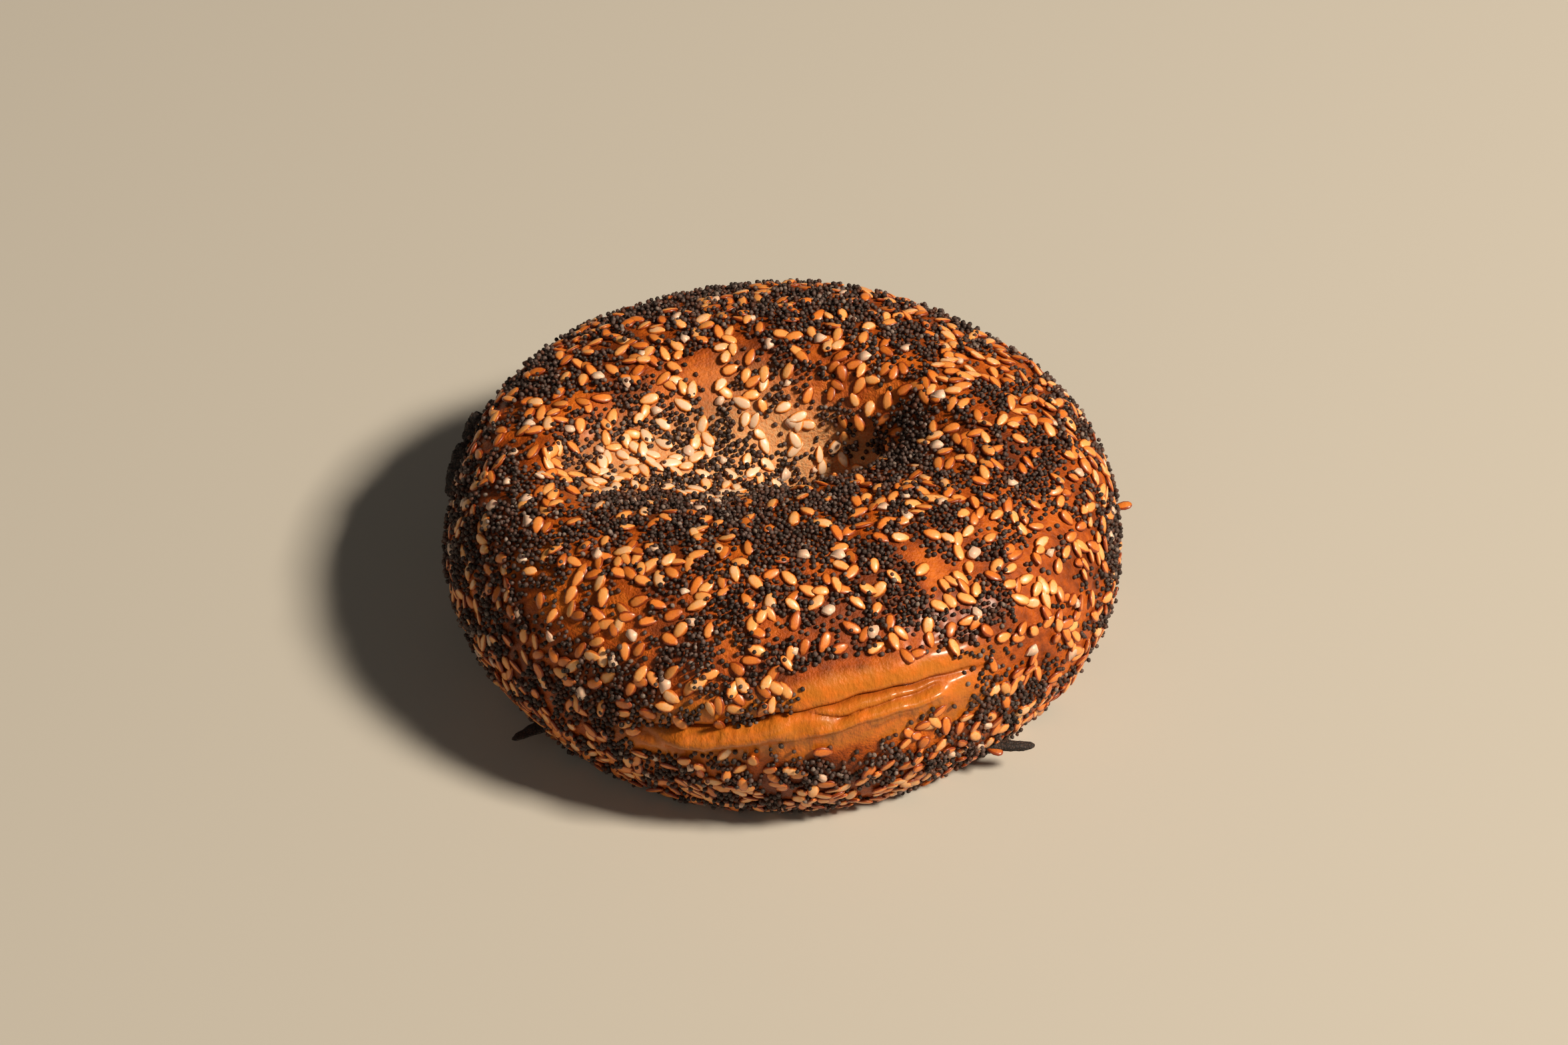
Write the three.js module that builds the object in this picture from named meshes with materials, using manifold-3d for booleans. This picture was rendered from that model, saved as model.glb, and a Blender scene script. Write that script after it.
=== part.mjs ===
// A seeded bagel: one piece of baked dough round a small hole, with a long shallow groove
// in its top that leads down into the hole, a fold across its front, and sesame seeds and
// charred onion flakes baked on.
// Units are millimetres. +Z is up and the front of the bagel faces -Y. The bagel stands on
// its flat sole, and the origin is the middle of its box, at the bottom.

import * as THREE from "three";
import { ParametricGeometry } from "three/addons/geometries/ParametricGeometry.js";
import { ConvexGeometry } from "three/addons/geometries/ConvexGeometry.js";
import { mergeVertices } from "three/addons/utils/BufferGeometryUtils.js";
import Module from "manifold-3d";

const wasm = await Module();
wasm.setup();

// ---- driving dimensions ----
const LENGTH = 110.4; // the dough, left to right
const DEPTH = 101.8; // the dough, front to back
const HEIGHT = 39.4; // the dough, at the crest
const MIDDLE = { x: -0.2, y: 0.4 }; // of the outline
const HOLE = { x: 7.2, y: 4.6, length: 14.4, width: 10 }; // the hole at its neck
const THROAT = { x: 6.2, y: 4.4, length: 19.6, width: 13.2, turn: 5 }; // where the hole opens out
const GROOVE = { x: -7.6, y: 2.6, length: 53, width: 22, turn: 11 }; // the hollow in the top
const CREST = { x: -4.2, y: -1, length: 72, width: 54, turn: 5 }; // the line of the highest dough

// Heights, as shares of the crest's.
const NECK_SHARE = 0.355;
const THROAT_SHARE = 0.62;
const GROOVE_SHARE = 0.835;
const DIP = 3.2; // how far the crest sinks where the groove runs out over it

const OUTLINE = { lobes: 3, swell: 0.0076, phase: 45.5 }; // slightly three-cornered

// Slow swells of the dough: how far they stand out, and their waves round the hole and along
// the section.
const SWELLS = [
  { size: 0.5, round: 2, roundPhase: 0.7, along: 2, alongPhase: -0.57 },
  { size: 0.3, round: 5, roundPhase: -1.1, along: 2, alongPhase: 2 },
];
const SWELL_FADE = 6; // height over which the swells fade towards the sole

const FOLD = {
  row: 4.5, // where the fold lies among the rings below
  angle: -79, // degrees round the hole at the fold's highest place
  high: 4.2, // the row it reaches there
  drop: 1, // rows that it falls by, far to either side
  spread: 50, // degrees over which it falls
  from: -131, // degrees where the fold starts
  to: -52, // degrees where it ends
  fade: 20, // degrees over which it fades in and out
  // Each form stands out by size, at a place above the crease, over a width.
  lip: { size: 0.8, above: 2.6, width: 2.2 }, // edge of the upper dough
  crease: { size: -1.7, above: -0.5, width: 0.8 },
  roll: { size: 0.8, above: -4, width: 2.4 }, // the dough under the crease
  overhang: { size: 0.7, above: 0.8, width: 0.9 }, // how far the upper dough hangs over
};

const SESAME = {
  length: 3,
  width: 1.9,
  thickness: 0.95,
  count: 150,
  spacing: 8.6, // least distance between two
  sunk: 0.3, // depth of the underside in the dough
  vary: 0.12, // share that a seed is larger or smaller by
  lean: 0.15, // most that a seed leans, in radians
};

// Where the dough is bare of seeds.
const BARE = {
  sole: 5, // height over the sole
  hole: 1.9, // share of the hole's size
  foldHeight: 29.4, // height of the fold at its highest place
  foldFall: 0.0047, // how fast it falls, per square degree
  overFold: 3,
  underFold: 9,
};

// Pieces of charred onion, each from one place to another. A place is degrees round the hole,
// a height, and a distance out from the widest outline.
const CHARRED_ONION = [
  { from: [177.5, 18.9, -0.4], to: [172, 25, -0.6], width: 4.5 }, // clump on the left side
  { from: [170.8, 23.4, -1.5], to: [167.4, 27.2, -1.5], width: 4.5 }, // clump above it
  { from: [-60, 6, -4], to: [-51.6, 6, 1.6], width: 1.9 }, // stick at the right front
  { from: [-142, 6, -5], to: [-142.2, 5.4, 2], width: 2.5 }, // flake at the left front
];

const COLUMNS = 60; // steps round the hole
const ROW_MM = 15; // length of dough between the rings beside the fold

// ---- the dough ----
// Closed rings round the hole, from its neck up over the crest and back along the sole.
// Each is an ellipse with a centre, half sizes, a height, a turn in radians, and its share
// of the outline's swell.
const ringOf = ({ x, y, length, width, turn = 0 }, height, swell = 0) => ({
  x,
  y,
  halfLength: length / 2,
  halfWidth: width / 2,
  height,
  turn: THREE.MathUtils.degToRad(turn),
  swell,
});

const holeRing = (grow, height) => {
  const size = { length: HOLE.length + 2 * grow, width: HOLE.width + 2 * grow };
  return ringOf({ ...HOLE, ...size }, height);
};

const outerRing = (share, height, swell) =>
  ringOf({ ...MIDDLE, length: share * LENGTH, width: share * DEPTH }, height, swell);

const WIDEST_RING = outerRing(1, 0.447 * HEIGHT, 1);

const RINGS = [
  holeRing(0, NECK_SHARE * HEIGHT),
  ringOf(THROAT, THROAT_SHARE * HEIGHT),
  ringOf(GROOVE, GROOVE_SHARE * HEIGHT),
  ringOf(CREST, HEIGHT, 0.3),
  outerRing(0.9, 0.807 * HEIGHT, 0.8), // shoulder
  WIDEST_RING,
  outerRing(0.932, 0.112 * HEIGHT, 1), // rounded foot
  outerRing(0.785, 0, 0.9), // edge of the sole
  holeRing(6.8, 0), // inner edge of the sole
  holeRing(1.4, 0.127 * HEIGHT), // the hole's lower mouth
];

// The rows of vertices, counted in rings. They crowd together at the fold.
const ROWS = [
  0, 0.33, 0.67, 1, 1.33, 1.67, 2, 2.33, 2.67, 3, 3.4, 3.8, 4.1, 4.34, 4.46, 4.55, 4.68, 4.86,
  5.12, 5.5, 6, 6.5, 7, 8, 8.5, 9, 9.5, 10,
];

// Distance from the hole's axis to a ring, in the direction of an angle.
function reach(angle, r) {
  const cos = Math.cos(r.turn);
  const sin = Math.sin(r.turn);
  const dx = HOLE.x - r.x;
  const dy = HOLE.y - r.y;
  const px = (dx * cos + dy * sin) / r.halfLength;
  const py = (dy * cos - dx * sin) / r.halfWidth;
  const qx = Math.cos(angle - r.turn) / r.halfLength;
  const qy = Math.sin(angle - r.turn) / r.halfWidth;
  const a = qx * qx + qy * qy;
  const b = px * qx + py * qy;
  const c = px * px + py * py - 1;
  const phase = THREE.MathUtils.degToRad(OUTLINE.phase);
  const swell = OUTLINE.swell * Math.cos(OUTLINE.lobes * angle - phase);
  return ((Math.sqrt(b * b - a * c) - b) / a) * (1 + r.swell * swell);
}

// How much lower a ring lies at an angle: the dough dips where the groove runs out over it.
function dip(angle, r) {
  const towardsGroove = Math.max(0, -Math.cos(angle - THREE.MathUtils.degToRad(CREST.turn)));
  const share = Math.max(0, r.height / HEIGHT - GROOVE_SHARE) / (1 - GROOVE_SHARE);
  return DIP * share * towardsGroove ** 3;
}

const sections = new Map();

// The closed section of the dough at an angle: x is the distance from the hole's axis, y the height.
function sectionAt(angle) {
  if (!sections.has(angle)) {
    const points = RINGS.map((r) => new THREE.Vector3(reach(angle, r), r.height - dip(angle, r), 0));
    sections.set(angle, new THREE.CatmullRomCurve3(points, true, "catmullrom", 0.5));
  }
  return sections.get(angle);
}

const bell = (distance, width) => Math.exp(-((distance / width) ** 2));

// How far one of the fold's forms stands out at a place above the crease.
const formAt = ({ size, above, width }, place) => size * bell(place - above, width);

// How strong the fold is at an angle in degrees, from 0 to 1.
function foldShare(degrees) {
  const { smoothstep } = THREE.MathUtils;
  const start = smoothstep(degrees, FOLD.from, FOLD.from + FOLD.fade);
  const end = smoothstep(degrees, FOLD.to - FOLD.fade, FOLD.to);
  return start * (1 - end);
}

// The rows near the fold follow it up and down.
function followFold(row, degrees) {
  const reachOfFold = 2;
  const away = Math.min(1, Math.abs(row - FOLD.row) / reachOfFold);
  const line = FOLD.high + FOLD.drop * (1 - bell(degrees - FOLD.angle, FOLD.spread));
  return row + (line - FOLD.row) * 0.5 * (1 + Math.cos(Math.PI * away));
}

// How far the slow swells stand out.
function unevenness(angle, row, height) {
  const turn = (2 * Math.PI * row) / RINGS.length;
  let out = 0;
  for (const { size, round, roundPhase, along, alongPhase } of SWELLS) {
    out += size * Math.cos(round * angle + roundPhase) * Math.cos(along * turn + alongPhase);
  }
  return out * Math.min(1, height / SWELL_FADE);
}

// A point of the dough: u goes round the hole and v round the section.
function doughPoint(u, v, target) {
  const step = THREE.MathUtils.clamp(v, 0, 1) * (ROWS.length - 1);
  const index = Math.min(Math.floor(step), ROWS.length - 2);
  const row = THREE.MathUtils.lerp(ROWS[index], ROWS[index + 1], step - index);
  const wrapped = u - Math.floor(u);
  const angle = 2 * Math.PI * wrapped;
  const degrees = THREE.MathUtils.radToDeg(angle) - 360;
  const place = (followFold(row, degrees) / RINGS.length) % 1;
  const section = sectionAt(angle);
  const point = section.getPoint(place);
  const along = section.getTangent(place);
  const share = foldShare(degrees);
  const above = (FOLD.row - row) * ROW_MM;
  const relief = formAt(FOLD.lip, above) + formAt(FOLD.crease, above) + formAt(FOLD.roll, above);
  const out = share * relief + unevenness(angle, row, point.y);
  const down = share * formAt(FOLD.overhang, above);
  const radius = point.x - along.y * out + along.x * down;
  const height = Math.max(0, point.y + along.x * out + along.y * down);
  target.set(HOLE.x + radius * Math.cos(angle), HOLE.y + radius * Math.sin(angle), height);
}

// A closed mesh as a solid for joining.
function solidOf(geometry) {
  const bare = geometry.clone().deleteAttribute("normal").deleteAttribute("uv");
  const merged = mergeVertices(bare, 1e-3);
  const corners = merged.index.array;
  const triangles = [];
  for (let i = 0; i < corners.length; i += 3) {
    const [a, b, c] = corners.slice(i, i + 3);
    if (a !== b && b !== c && a !== c) triangles.push(a, b, c);
  }
  const mesh = new wasm.Mesh({
    numProp: 3,
    vertProperties: merged.attributes.position.array,
    triVerts: new Uint32Array(triangles),
  });
  return new wasm.Manifold(mesh);
}

// A solid as a geometry to show.
function geometryOf(solid) {
  const { vertProperties, triVerts } = solid.getMesh();
  const geometry = new THREE.BufferGeometry();
  geometry.setAttribute("position", new THREE.BufferAttribute(vertProperties, 3));
  geometry.setIndex(new THREE.BufferAttribute(triVerts, 1));
  geometry.computeVertexNormals();
  return geometry;
}

// ---- toppings ----
// Random numbers from 0 to 1, the same each time.
function seededRandom(seed) {
  let state = seed;
  return () => {
    state = (state + 0x6d2b79f5) | 0;
    let t = Math.imul(state ^ (state >>> 15), 1 | state);
    t = (t + Math.imul(t ^ (t >>> 7), 61 | t)) ^ t;
    return ((t ^ (t >>> 14)) >>> 0) / 4294967296;
  };
}

// A rounded body along X from sections: each is [place along, half width, half thickness].
// The first of the sides' corners is at an angle in degrees.
function pebble(stations, sides, corner) {
  const points = [];
  for (const [along, halfWidth, halfThickness] of stations) {
    const count = halfWidth > 0 ? sides : 1;
    for (let i = 0; i < count; i += 1) {
      const turn = THREE.MathUtils.degToRad(corner) + (2 * Math.PI * i) / count;
      points.push(
        new THREE.Vector3(along, halfWidth * Math.cos(turn), halfThickness * Math.sin(turn)),
      );
    }
  }
  return new ConvexGeometry(points);
}

// A sesame seed: a flat drop with its tip at -X and a flat side on top.
function sesameSeed(scale) {
  const { length, width, thickness } = SESAME;
  const stations = [
    [-0.5 * length, 0, 0],
    [-0.12 * length, 0.4 * width, 0.42 * thickness],
    [0.22 * length, 0.5 * width, 0.5 * thickness],
    [0.46 * length, 0.24 * width, 0.3 * thickness],
  ];
  return pebble(stations, 5, 54).scale(scale, scale, scale);
}

// Lays a topping, made along X, at a point with its flat side to the dough.
function laid(geometry, point, normal, turn, tilt, lift) {
  const matrix = new THREE.Matrix4().makeTranslation(point.clone().addScaledVector(normal, lift));
  const up = new THREE.Vector3(0, 0, 1);
  const stand = new THREE.Quaternion().setFromUnitVectors(up, normal);
  const spin = new THREE.Quaternion().setFromAxisAngle(up, turn);
  const lean = new THREE.Quaternion().setFromAxisAngle(new THREE.Vector3(0, 1, 0), tilt);
  matrix.multiply(new THREE.Matrix4().makeRotationFromQuaternion(stand.multiply(spin).multiply(lean)));
  return geometry.applyMatrix4(matrix);
}

// Whether the dough is bare of seeds at a point: on the sole, in the hole, and along the fold.
function isBare(point) {
  const dx = point.x - HOLE.x;
  const dy = point.y - HOLE.y;
  const inHole = 2 * Math.hypot(dx / HOLE.length, dy / HOLE.width) < BARE.hole;
  const degrees = THREE.MathUtils.radToDeg(Math.atan2(dy, dx));
  const foldHeight = BARE.foldHeight - BARE.foldFall * (degrees - FOLD.angle) ** 2;
  const under = foldHeight - point.z;
  const alongFold = degrees > FOLD.from && degrees < FOLD.to;
  const nearFold = alongFold && under > -BARE.overFold && under < BARE.underFold;
  return point.z < BARE.sole || inHole || nearFold;
}

// Places spread evenly over the dough: [point, normal], each clear of the others.
function seedPlaces(geometry, random) {
  const position = geometry.toNonIndexed().getAttribute("position");
  const triangle = new THREE.Triangle();
  const faces = [];
  let area = 0;
  for (let i = 0; i < position.count; i += 3) {
    triangle.setFromAttributeAndIndices(position, i, i + 1, i + 2);
    area += triangle.getArea();
    faces.push({ upTo: area, face: triangle.clone(), normal: triangle.getNormal(new THREE.Vector3()) });
  }
  const places = [];
  const tries = 40000;
  for (let i = 0; i < tries && places.length < SESAME.count; i += 1) {
    const target = random() * area;
    const { face, normal } = faces.find((f) => f.upTo >= target);
    const s = Math.sqrt(random());
    const t = random();
    const point = new THREE.Vector3()
      .addScaledVector(face.a, 1 - s)
      .addScaledVector(face.b, s * (1 - t))
      .addScaledVector(face.c, s * t);
    const clear = places.every(([other]) => other.distanceTo(point) > SESAME.spacing);
    if (clear && !isBare(point)) places.push([point, normal]);
  }
  return places;
}

function sesameSeeds(doughGeometry) {
  const random = seededRandom(7);
  const eitherWay = (most) => most * (2 * random() - 1);
  const lift = SESAME.thickness / 2 - SESAME.sunk;
  return seedPlaces(doughGeometry, random).map(([point, normal]) => {
    const scale = 1 + eitherWay(SESAME.vary);
    const turn = 2 * Math.PI * random();
    return laid(sesameSeed(scale), point, normal, turn, eitherWay(SESAME.lean), lift);
  });
}

// A point beside the dough: degrees round the hole, a height, and how far outside the widest ring.
function besideDough([degrees, height, outwards]) {
  const angle = THREE.MathUtils.degToRad(degrees);
  const radius = reach(angle, WIDEST_RING) + outwards;
  return new THREE.Vector3(
    HOLE.x + radius * Math.cos(angle),
    HOLE.y + radius * Math.sin(angle),
    height,
  );
}

// A piece of charred onion, from one point to another.
function charredPiece(from, to, width) {
  const half = from.distanceTo(to) / 2;
  const stations = [
    [-half, 0.3 * width, 0.24 * width],
    [-0.45 * half, 0.5 * width, 0.4 * width],
    [0.4 * half, 0.46 * width, 0.38 * width],
    [half, 0.28 * width, 0.22 * width],
  ];
  const along = to.clone().sub(from).normalize();
  const turn = new THREE.Quaternion().setFromUnitVectors(new THREE.Vector3(1, 0, 0), along);
  const middle = from.clone().add(to).multiplyScalar(0.5);
  return pebble(stations, 6, 0).applyQuaternion(turn).translate(middle.x, middle.y, middle.z);
}

const charredOnion = () =>
  CHARRED_ONION.map(({ from, to, width }) =>
    charredPiece(besideDough(from), besideDough(to), width),
  );

// ---- the bagel ----
const dough = new ParametricGeometry(doughPoint, COLUMNS, ROWS.length - 1);
if (solidOf(dough).volume() < 0) {
  const index = dough.index.array;
  for (let i = 0; i < index.length; i += 3) [index[i + 1], index[i + 2]] = [index[i + 2], index[i + 1]];
}
const toppings = [...sesameSeeds(dough), ...charredOnion()];
let baked = solidOf(dough);
for (const topping of toppings) baked = baked.add(solidOf(topping));

const bagel = new THREE.Mesh(
  geometryOf(baked),
  new THREE.MeshStandardMaterial({ color: 0xb8672a, roughness: 0.45, metalness: 0 }),
);
bagel.name = "bagel";

const box = new THREE.Box3().setFromObject(bagel);
const middle = box.getCenter(new THREE.Vector3());
bagel.position.set(-middle.x, -middle.y, -box.min.z);

const group = new THREE.Group();
group.add(bagel);

export default group;
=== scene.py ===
"""A seeded bagel in a plain studio.

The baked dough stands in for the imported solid, and Geometry Nodes strew the sesame seeds, the
poppy seeds and the onion bits over it. Sizes are in millimetres unless a comment says otherwise,
with the front of the bagel at -Y, and become metres when a mesh is made.
"""

import logging
import math
from dataclasses import dataclass, field, replace
from enum import Enum
from typing import Any, Callable, Iterable, Sequence

import bmesh
import bpy
import numpy as np
from mathutils import Matrix, Vector, noise


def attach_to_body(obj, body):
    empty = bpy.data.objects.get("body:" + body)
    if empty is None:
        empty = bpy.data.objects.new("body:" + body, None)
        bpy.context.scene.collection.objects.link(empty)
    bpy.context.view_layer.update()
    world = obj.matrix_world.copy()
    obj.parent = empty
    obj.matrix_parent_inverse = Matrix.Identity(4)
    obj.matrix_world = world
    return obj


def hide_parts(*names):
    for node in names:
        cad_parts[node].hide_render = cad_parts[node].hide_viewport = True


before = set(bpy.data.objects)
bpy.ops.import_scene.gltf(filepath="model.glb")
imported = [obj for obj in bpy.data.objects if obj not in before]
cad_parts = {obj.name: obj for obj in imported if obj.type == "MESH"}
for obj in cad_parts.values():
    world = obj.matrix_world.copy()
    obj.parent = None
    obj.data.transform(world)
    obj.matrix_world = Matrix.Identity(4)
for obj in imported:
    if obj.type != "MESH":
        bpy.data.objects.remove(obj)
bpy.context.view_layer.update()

log = logging.getLogger("bagel")

MM = 0.001
BODY = "root"
NODE = "bagel"

Colour = tuple[float, float, float]
Place = tuple[float, float, float]
Span = tuple[float, float]


class Slot(Enum):
    """The record's material slots."""

    CRUST = "crust"
    SESAME = "sesame"
    POPPY = "poppy"
    ONION_BITS = "onion_bits"
    CHARRED_ONION = "charred_onion"


class Mark(Enum):
    """The dough's painted attributes, each from 0 to 1."""

    SHELTERED = "sheltered"  # pale dough in the hollow and the hole
    STRETCHED = "stretched"  # smooth dough along the fold
    CREASED = "creased"  # grooves of the fold: browner than the dough beside them, and painted shade
    PRESSED = "pressed"  # the sole, where toppings lie flush
    SESAME = "sesame_cover"
    POPPY = "poppy_cover"
    PILE = "poppy_pile"
    BITS = "bits_cover"


# ---- node trees ----
def _operator(operation: str, reflected: bool = False) -> Callable[["Value", Any], "Value"]:
    """Makes an operator of Value, which adds a Math node.

    Args:
        operation: the Math node's operation.
        reflected: whether the other value comes first.

    Returns:
        The operator.
    """

    def apply(this: "Value", other: Any) -> "Value":
        """Adds the node.

        Args:
            this: the value whose operator it is.
            other: a value or a number.

        Returns:
            The node's result.
        """
        first, second = (other, this) if reflected else (this, other)
        inputs = {0: first, 1: second}
        return this.graph.number("ShaderNodeMath", "Value", inputs, operation=operation)

    return apply


class Value:
    """A socket that takes part in arithmetic."""

    def __init__(self, graph: "Graph", socket: bpy.types.NodeSocket) -> None:
        """Wraps a socket.

        Args:
            graph: the node tree that the socket is in.
            socket: an output that gives a number.
        """
        self.graph = graph
        self.socket = socket

    __add__ = _operator("ADD")
    __radd__ = _operator("ADD", reflected=True)
    __sub__ = _operator("SUBTRACT")
    __rsub__ = _operator("SUBTRACT", reflected=True)
    __mul__ = _operator("MULTIPLY")
    __rmul__ = _operator("MULTIPLY", reflected=True)
    __pow__ = _operator("POWER")
    __lt__ = _operator("LESS_THAN")
    __gt__ = _operator("GREATER_THAN")

    def clamped(self) -> "Value":
        """This, kept between 0 and 1."""
        return self.between(0.0, 1.0, smooth=False)

    def between(self, low: float, high: float, smooth: bool = True) -> "Value":
        """Where this lies between two limits.

        Args:
            low: the value that gives 0.
            high: the value that gives 1.
            smooth: whether the ends are eased.

        Returns:
            The share, kept between 0 and 1.
        """
        inputs = {"Value": self, "From Min": low, "From Max": high}
        ends = "SMOOTHSTEP" if smooth else "LINEAR"
        return self.graph.number("ShaderNodeMapRange", "Result", inputs, interpolation_type=ends)


class Graph:
    """A node tree with one method for any node."""

    def __init__(self, tree: bpy.types.NodeTree) -> None:
        """Takes a tree to fill."""
        self.tree = tree

    @staticmethod
    def _find(sockets: Any, key: str | int) -> bpy.types.NodeSocket:
        """Finds a socket by its index, or the first one in use with its name.

        Args:
            sockets: a node's inputs or outputs.
            key: the socket's index or name.

        Returns:
            The socket.
        """
        if isinstance(key, int):
            return sockets[key]
        return next(s for s in sockets if s.name == key and s.enabled)

    @staticmethod
    def _set_stops(ramp: Any, stops: Sequence[tuple[float, Colour]]) -> None:
        """Gives a colour ramp its stops.

        Args:
            ramp: the colour ramp.
            stops: each stop's place and colour.
        """
        while len(ramp.elements) < len(stops):
            ramp.elements.new(0.5)
        for element, (position, colour) in zip(ramp.elements, stops):
            element.position = position
            element.color = (*colour, 1)

    def fill(self, socket: bpy.types.NodeSocket, given: Any) -> None:
        """Gives a socket its value or its link.

        Args:
            socket: an input.
            given: what it takes: a Value, a socket to link, or a plain value.
        """
        source = given.socket if isinstance(given, Value) else given
        if isinstance(source, bpy.types.NodeSocket):
            self.tree.links.new(source, socket)
        else:
            socket.default_value = source

    def node(self, kind: str, inputs: dict | None = None, **settings: Any) -> Any:
        """Adds a node.

        Args:
            kind: the node's type.
            inputs: the values or links of its sockets, by name or index.
            settings: its properties, and a ramp's stops, which are set first.

        Returns:
            The node.
        """
        node = self.tree.nodes.new(kind)
        for name, setting in settings.items():
            if name == "stops":
                self._set_stops(node.color_ramp, setting)
            else:
                setattr(node, name, setting)
        for key, given in (inputs or {}).items():
            self.fill(self._find(node.inputs, key), given)
        return node

    def link(self, kind: str, output: str, inputs: dict | None = None, **settings: Any) -> Any:
        """Adds a node, as node does, and gives its output of a name."""
        return self._find(self.node(kind, inputs, **settings).outputs, output)

    def number(self, kind: str, output: str, inputs: dict | None = None, **settings: Any) -> Value:
        """Adds a node, as node does, and gives its output for arithmetic."""
        return Value(self, self.link(kind, output, inputs, **settings))


class ShaderGraph(Graph):
    """A material's node tree, with the calls that the finishes share."""

    def __init__(self, name: str) -> None:
        """Makes a material with a Principled shader.

        Args:
            name: the material's name.
        """
        self.material = bpy.data.materials.new(name)
        self.material.use_nodes = True
        super().__init__(self.material.node_tree)
        self.shader = self.tree.nodes["Principled BSDF"]
        self.place = self.link("ShaderNodeTexCoord", "Object")

    def attribute(self, name: str) -> Value:
        """A number painted on the mesh."""
        return self.number("ShaderNodeAttribute", "Fac", attribute_name=name)

    def noise(self, size: float, detail: float = 3.0, stretch: Place = (1, 1, 1)) -> Value:
        """Noise from 0 to 1.

        Args:
            size: the width of its spots, in millimetres.
            detail: how many finer layers it has.
            stretch: how often it repeats along each axis, against size.

        Returns:
            The noise.
        """
        inputs = {"Vector": self.place, "Scale": stretch}
        scaled = self.link("ShaderNodeMapping", "Vector", inputs)
        inputs = {"Vector": scaled, "Scale": 1 / (size * MM), "Detail": detail}
        return self.number("ShaderNodeTexNoise", "Fac", inputs)

    def cells(self, size: float) -> Value:
        """The distance to the nearest of scattered cells, each about size millimetres wide."""
        inputs = {"Vector": self.place, "Scale": 1 / (size * MM)}
        return self.number("ShaderNodeTexVoronoi", "Distance", inputs)

    def ramp(self, factor: Value, stops: Sequence[tuple[float, Colour]]) -> Any:
        """The colour of a ramp at a factor; each stop is a place and a colour."""
        return self.link("ShaderNodeValToRGB", "Color", {"Fac": factor}, stops=stops)

    def mix(self, factor: Any, first: Any, second: Any) -> Any:
        """Mixes two colours.

        Args:
            factor: how much of the second.
            first: a colour or a link.
            second: a colour or a link.

        Returns:
            The mixed colour.
        """

        def full(colour: Any) -> Any:
            """A colour with its alpha, or the link itself."""
            return (*colour, 1) if isinstance(colour, tuple) else colour

        inputs = {"Factor": factor, "A": full(first), "B": full(second)}
        return self.link("ShaderNodeMix", "Result", inputs, data_type="RGBA")

    def bump(self, height: Value, depth: float, strength: float) -> None:
        """Gives the shader a fine relief, depth millimetres deep."""
        inputs = {"Height": height, "Distance": depth * MM, "Strength": strength}
        self.set(Normal=self.link("ShaderNodeBump", "Normal", inputs))

    def set(self, **sockets: Any) -> None:
        """Sets the shader's sockets, with _ for a space in their names."""
        for name, given in sockets.items():
            self.fill(self.shader.inputs[name.replace("_", " ")], given)


# ---- finishes ----
@dataclass(frozen=True)
class CrustFinish:
    """Glazed, browned crust, paler where the oven didn't reach."""

    pale: Colour = (0.60, 0.31, 0.14)
    golden: Colour = (0.64, 0.155, 0.013)
    brown: Colour = (0.37, 0.068, 0.005)
    deep: Colour = (0.13, 0.023, 0.003)
    stretched: Colour = (0.47, 0.142, 0.011)
    # colour of the fold's grooves: real browning and painted shade
    creased: Colour = (0.27, 0.048, 0.005)
    patch: float = 14.0  # width of the browner patches
    spot: float = 1.6
    streak: float = 2.2  # width of the golden streaks on stretched dough
    dull: float = 3.0  # width of the duller spots
    pore: float = 1.1
    grit: float = 0.45
    crinkle: float = 0.6
    relief: float = 0.3  # depth of the pores
    gloss: float = 0.14  # share of coat on baked crust
    taut_gloss: float = 0.26  # what stretched dough has more

    def build(self) -> bpy.types.Material:
        """Makes the material.

        Returns:
            The material.
        """
        g = ShaderGraph("crust")
        marks = (Mark.SHELTERED, Mark.STRETCHED, Mark.CREASED, Mark.POPPY)
        sheltered, stretched, creased, poppy_cover_shade = (g.attribute(mark.value) for mark in marks)
        # browner patches at random, and darker where poppy seeds lie thick: baked browning and
        # painted shade between the seeds
        browning_and_seed_shade = g.noise(self.patch, 2) * 0.65 + g.noise(self.spot, 4) * 0.35 + poppy_cover_shade * 0.1
        stops = ((0.0, self.golden), (0.55, self.brown), (1.0, self.deep))
        baked = g.ramp(browning_and_seed_shade.between(0.3, 0.7), stops)
        taut = g.mix(g.noise(self.streak, 4).between(0.35, 0.75), self.stretched, self.golden)
        # the fold's grooves tinted darker: real browning and painted shade
        colour = g.mix(creased * 0.7, g.mix(stretched, baked, taut), self.creased)
        speckled = g.noise(self.grit, 3).between(0.42, 0.62)
        cream = g.mix(speckled * 0.45, self.pale, self.golden)
        g.set(Base_Color=g.mix(sheltered, colour, cream))
        g.set(Roughness=0.36 + g.noise(self.dull, 3) * 0.24 + sheltered * 0.22)
        g.set(Coat_Weight=(1 - sheltered) * (self.gloss + stretched * self.taut_gloss))
        g.set(Coat_Roughness=0.2, Specular_IOR_Level=0.18)
        pores = g.noise(self.pore, 5) * 0.6 + g.noise(self.grit, 4) * 1.1
        crinkles = g.noise(self.crinkle, 3, (1, 0.7, 0.5)) * 0.7
        g.bump(pores + (crinkles - pores * 0.75) * stretched, self.relief, 0.9)
        return g.material


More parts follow.
